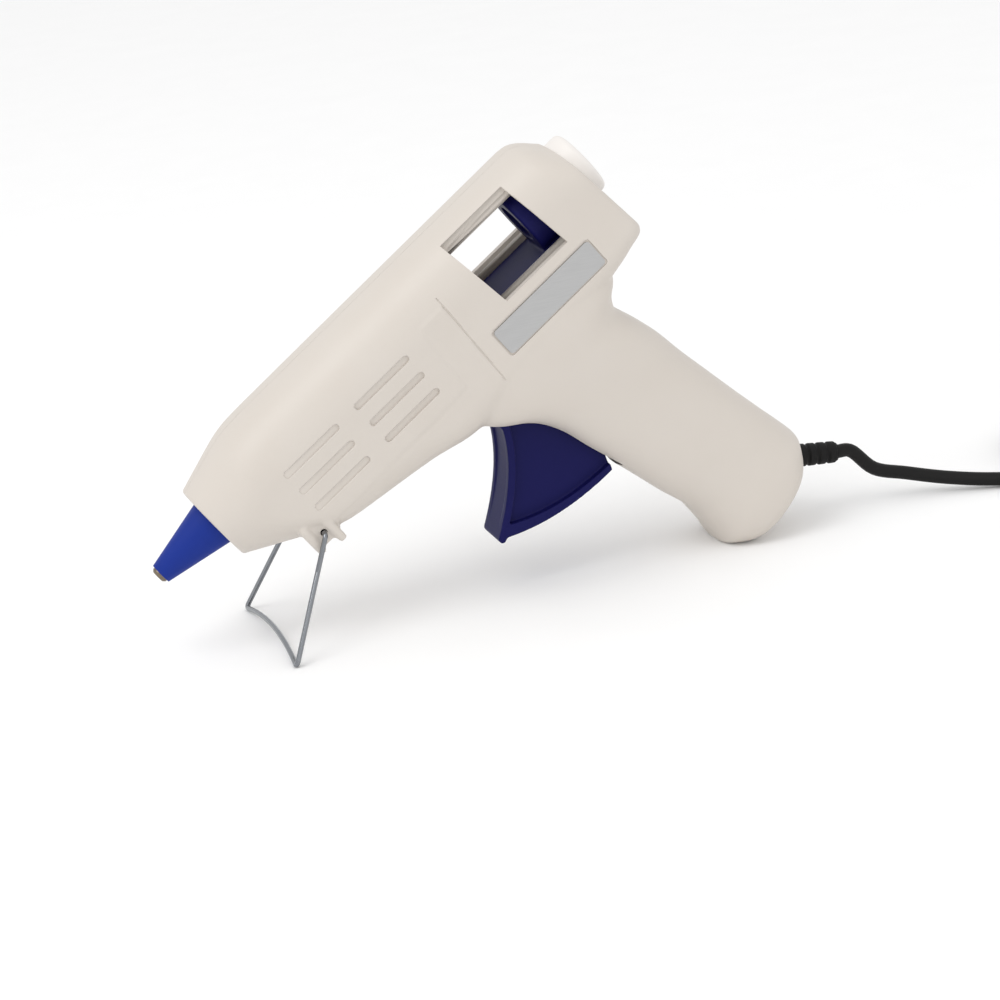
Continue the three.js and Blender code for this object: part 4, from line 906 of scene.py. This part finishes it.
ground = block("ground", (-160, -60, -60), (160, 60, 0))
ground.data.transform(to_frame.inverted() @ millimetres)
cutters.append(ground)
print("cutters:", len(cutters))

# %% Cut the shell
shell = boolean(skin, cutters, "DIFFERENCE")
print("shell", len(shell.data.polygons), "faces")

# %% [markdown]
# Inside, each half carries ribs, rails for the carriage, seats for the screws and cradles for the melt
# chamber. The CAD already has them all, so a merged copy of each CAD half is kept inside the hollow and
# joined to the fine shell. The halves meet at a fine seam.


# %% Ribs and halves
def own_copy(piece, name):
    """Another object with its own mesh."""
    copy = bpy.data.objects.new(name, piece.data.copy())
    bpy.context.scene.collection.objects.link(copy)
    return copy


def cad_copy(name):
    """A CAD node's mesh as one closed skin, in the gun's millimetres."""
    copy = own_copy(frame["nodes"][name], name + "_copy")
    copy.data.transform(to_frame.inverted())
    copy.data.materials.clear()
    pick(copy)
    bpy.ops.object.mode_set(mode="EDIT")
    bpy.ops.mesh.select_all(action="SELECT")
    bpy.ops.mesh.remove_doubles(threshold=0.001)
    bpy.ops.object.mode_set(mode="OBJECT")
    return copy


seam = 0.05
screw_places = [
    (52.5, -20.5),
    (90.6, -26),
    (118, 13.3),
    (165.4, -18.6),
    (149.64, -63.8),
    (148.26, -109.74),
]
halves = {}
for node, low, high in (("housing_left", -30, -seam), ("housing_right", seam, 30)):
    ribs = boolean(cad_copy(node), [inner_form("inside", wall - 0.2)], "INTERSECT")
    ribs = boolean(ribs, [block("rib_side", (0, low, -160), (220, high, 40))], "INTERSECT")
    half = own_copy(shell, node.replace("housing", "shell"))
    half = boolean(half, [block("half_side", (0, low, -160), (220, high, 40))], "INTERSECT")
    half = boolean(half, [ribs], "UNION")
    if node == "housing_right":
        wells = [bar("screw_well", x, z, 3.05, 8, through) for x, z in screw_places]
        half = boolean(half, wells, "DIFFERENCE")
    halves[node] = half
bpy.data.objects.remove(shell)
for node, half in halves.items():
    settle(half, "housing", ivory_abs, smooth=40, replaces=(node,))

# %% [markdown]
# ## Nozzle
# A soft blue sleeve covers the hot nozzle, and a small metal tip stands out of it. Both are round, so each
# is a profile turned about the barrel's axis, with its edges rounded before it is spun.

# %% Nozzle sleeve and tip
sleeve_profile = rounded(
    [(0, 3.4), (22, 7.95), (24.5, 7.95), (24.5, 9.6), (26.5, 9.6), (26.5, 6.55), (0, 3.0)],
    [0.18, 0, 0.2, 0.3, 0.3, 0.2, 0.18],
    4,
)
sleeve = turned("sleeve", sleeve_profile, 96)
settle(sleeve, "housing", sleeve_rubber, replaces=("nozzle_sleeve",))

tip_profile = rounded(
    [
        (-1.3, 0.9),
        (-1.3, 2.0),
        (-0.6, 2.7),
        (2, 2.7),
        (22.3, 5.4),
        (26.8, 5.4),
        (26.8, 4),
        (35, 4),
        (35, 2.6),
        (2, 0.9),
    ],
    [0.15, 0.6, 0.7, 0.3, 0.3, 0.2, 0.2, 0.2, 0.2, 0.2],
    4,
)
settle(turned("tip", tip_profile, 64), "housing", nozzle_brass, replaces=("nozzle_tip",))

# %% [markdown]
# ## Inlet collar
# The glue stick goes in through a short round collar at the back, with a well rounded rim. Its flange is
# held between two ribs inside.

# %% Inlet collar
collar_profile = rounded(
    [(165.5, 6.3), (165.5, 13.2), (167.9, 13.2), (167.9, 11), (180, 11), (180, 6.9), (178.6, 6.3)],
    [0.2, 0.3, 0.3, 0.3, 2.0, 0.5, 0.5],
    8,
)
settle(turned("collar", collar_profile, 96), "housing", collar_abs, replaces=("inlet_collar",))


# %% [markdown]
# ## Carriage
# A navy plastic carriage slides under the window. It is a flat deck with a ring round the stick at its back
# and two skirts below, which hold the pin that the trigger pushes. It is put together from plain forms,
# then remeshed and smoothed a little, which rounds every edge as a mould does.


# %% Soft moulded edges
def soften(piece, grain, passes):
    """Remeshes to small even faces and smooths, so that all edges get a small radius."""
    remesh = piece.modifiers.new("even", "REMESH")
    remesh.mode = "VOXEL"
    remesh.voxel_size = grain
    smooth = piece.modifiers.new("soft", "SMOOTH")
    smooth.factor = 0.5
    smooth.iterations = passes
    return apply_modifiers(piece)


# %% Carriage
ring = turned(
    "carriage_ring",
    [(152, 6.6), (152, 11.6), (152.8, 12.4), (162.5, 12.4), (162.5, 6.6)],
    96,
)
ring = boolean(ring, [block("below", (150, -14, -14), (164, 14, -12))], "DIFFERENCE")
deck = block("carriage_deck", (119.5, -11.5, -12), (162.5, 11.5, -10))
skirts = [
    block("skirt_left", (119.5, -8.6, -18.5), (133.5, -6.9, -10.5)),
    block("skirt_right", (119.5, 6.9, -18.5), (133.5, 8.6, -10.5)),
]
sled = union(ring, [deck, *skirts])
sled = boolean(
    sled,
    [
        block("pawl_room", (153.5, -3.3, -13), (164, 3.3, -5.6)),
        bar("drive_hole", 123, -16, 1.7, -12, 12, 32),
        bar("pawl_hole", 160, -9.8, 1.2, -6.3, 6.3, 24),
    ],
    "DIFFERENCE",
)
sled.name = "sled"
settle(soften(sled, 0.35, 3), "carriage", navy_abs, smooth=50, replaces=("carriage",))

# %% [markdown]
# ## Trigger
# The trigger's side is a flat web with a raised lip behind the finger face and a raised rim along the lower
# edge. The finger face is slightly hollow across. Its outline comes from three soft curves.


# %% Trigger outline
def bend(start, middle, end, steps=14):
    """A quadratic curve's points, without its first."""
    points = []
    for i in range(1, steps + 1):
        t = i / steps
        points.append(
            tuple(
                start[k] * (1 - t) ** 2 + 2 * middle[k] * t * (1 - t) + end[k] * t * t for k in (0, 1)
            )
        )
    return points


face_top = (105.1, -42.4)
face_foot = (80.9, -67.6)
toe_end = (81.7, -69.9)
edge_start = (83.3, -69.3)
edge_end = (121.6, -77.9)
trigger_outline = [
    (104.5, -33),
    face_top,
    *bend(face_top, (99, -55.6), face_foot),
    *bend(face_foot, (79.9, -69.4), toe_end, 5),
    edge_start,
    *bend(edge_start, (99.55, -78), edge_end),
    (123.5, -73),
    (122.5, -48),
    (112, -33),
]
lip_top = (107.9, -42.4)
recess_foot = (86.5, -66.55)
recess_outline = [
    (107.9, -32.5),
    lip_top,
    *bend(lip_top, (101.8, -55.6), recess_foot),
    *bend(recess_foot, (101.65, -75.9), (124, -75.8)),
    (124, -32.5),
]
hollow_outline = [
    (100, -32),
    (105.3, -33),
    (105.9, -42.4),
    *bend((105.9, -42.4), (99.8, -55.6), (82.3, -66.6)),
    (78, -68),
    (78, -32),
]

# %% Trigger body
body = plate("trigger_body", trigger_outline, -8, 8)
body = boolean(
    body,
    [
        plate("recess_right", recess_outline, 5.6, 9),
        plate("recess_left", recess_outline, -9, -5.6),
        plate("finger_hollow", hollow_outline, -5.4, 5.4),
    ],
    "DIFFERENCE",
)
reach = Vector((4.5, 23)).normalized()


def arm_strip(start, end, half):
    """A strip along the drive arm, in the side view."""
    corners = [(start, -half), (start, half), (end, half), (end, -half)]
    return [
        (118.5 + reach.x * along + reach.y * side, -39 + reach.y * along - reach.x * side)
        for along, side in corners
    ]


body = union(
    body,
    [bar("hub", 118.5, -39, 5.5, -8, 8), plate("fork", arm_strip(0, 25.7, 4.5), -3, 3)],
)
body = boolean(
    body,
    [
        plate("fork_slot", arm_strip(21.03, 26.5, 1.8), -9, 9),
        bar("spring_room", 118.5, -39, 4.8, -9, -4),
        block("leg_room", (113.7, -9, -45.3), (119.3, -4, -39)),
        bar("pin_hole", 118.5, -39, 2.2, -9, 9),
    ],
    "DIFFERENCE",
)
body.name = "trigger_lever"
settle(soften(body, 0.3, 6), "trigger", navy_abs, smooth=50, replaces=("trigger",))

# %% [markdown]
# ## Wire stand
# One bent wire of 1.6 mm holds the nozzle up. Its ends hook into the holes under the barrel, its legs
# spread, and its cross bar bows a little. A round section is run along the bent path.


# %% Wire stand
def bent_path(corners, radius, steps):
    """The path with each corner made a smooth bend."""
    path = [corners[0]]
    for before, corner, after in zip(corners, corners[1:], corners[2:]):
        back = before - corner
        on = after - corner
        cut = min(radius / math.tan(back.angle(on) / 2), back.length * 0.45, on.length * 0.45)
        start = corner + back.normalized() * cut
        end = corner + on.normalized() * cut
        for i in range(steps + 1):
            t = i / steps
            path.append(start * (1 - t) ** 2 + corner * (2 * t * (1 - t)) + end * t * t)
    return [*path, corners[-1]]


leg = [(48.4, 12.6, -20.3), (44, 12.6, -20.8), (44, 19.7, -20.8), (34.3, 20.7, -27.2), (9.8, 31, -40.2)]
wire_radius = 0.8
bend_radius = 2
towards_hinge = Vector((34.2, 0, 19.39)).normalized()
bow = []
for i in range(1, 12):
    share = i / 12
    bow.append(Vector((9.8, 62 * share - 31, -40.2)) + towards_hinge * (12.8 * share * (1 - share)))
corners = [Vector((x, -y, z)) for x, y, z in leg] + bow + [Vector(point) for point in reversed(leg)]
settle(
    tube("bent_wire", bent_path(corners, bend_radius, 8), wire_radius, 20),
    "stand",
    chrome_wire,
    smooth=60,
    replaces=("wire_stand",),
)

# %% [markdown]
# ## Rating plate, strain relief and fasteners
# The real plate is a thin silver sticker. Here it stays bare. The strain relief is a soft black sleeve with
# four rings, turned about its own tilted axis. The screws sit deep in round wells on the far side.

# %% Rating plate
label_outline = rounded([(122.3, -21.9), (162.3, -21.9), (162.3, -12.5), (122.3, -12.5)], 1.2, 8)
label = plate("rating_plate", label_outline, -19.4, -19.05)
settle(label, "housing", label_silver, replaces=("label_plate",))

# %% Strain relief
relief_profile = [(-10, 2.5), (-10, 4.2), (-6.4, 4.5), (-6.4, 2.9), (0.3, 2.9)]
relief_radii = [0.2, 0.4, 0.4, 0.1, 0]
for i in range(4):
    start = 0.3 + 3.425 * i
    relief_profile += [
        (start + 0.02, 3.1),
        (start + 0.55, 3.7 - 0.05 * i),
        (start + 2.6, 3.66 - 0.07 * i),
        (start + 2.95, 3.1 - 0.04 * i),
    ]
    relief_radii += [0.1, 0.35, 0.35, 0.1]
relief_profile += [(14, 3.0), (14, 2.5)]
relief_radii += [0.2, 0.1]
relief = turned("cord_relief", rounded(relief_profile, relief_radii, 4), 64, relief_frame)
settle(relief, "housing", black_rubber, replaces=("strain_relief",))

# %% [markdown]
# ## What is inside
# The melt chamber, its heater, the feed sleeve, the pins, the spring and the leads are plain engineering
# parts that show only through the window and the openings. The CAD's own shapes are right, so each keeps
# its shape and gets a finish.

# %% Finishes of the CAD's own parts
own_finishes = {
    "melt_chamber": cast_aluminium,
    "ptc_heater": heater_ceramic,
    "heater_clip": zinc_steel,
    "feed_sleeve": red_silicone,
    "sleeve_band": zinc_steel,
    "grip_pawl": zinc_steel,
    "pawl_pin": zinc_steel,
    "drive_pin": zinc_steel,
    "trigger_pin": zinc_steel,
    "trigger_spring": zinc_steel,
    "cord_tail": black_pvc,
    "cord_clamp": black_rubber,
    "crimp_left": zinc_steel,
    "crimp_right": zinc_steel,
    "lead_left": red_lead,
    "lead_right": blue_lead,
    "screw_1": zinc_steel,
    "screw_2": zinc_steel,
    "screw_3": zinc_steel,
    "screw_4": zinc_steel,
    "screw_5": zinc_steel,
    "screw_6": zinc_steel,
    "clamp_screw_1": zinc_steel,
    "clamp_screw_2": zinc_steel,
    "plug_body": black_pvc,
    "plug_pin_1": nozzle_brass,
    "plug_pin_2": nozzle_brass,
}
for name, material in own_finishes.items():
    node = frame["nodes"][name]
    if not node.material_slots:
        node.data.materials.append(material)
    for slot in node.material_slots:
        slot.material = material
print("CAD parts with a finish:", len(own_finishes))

# %% Leave nothing selected
deselect()
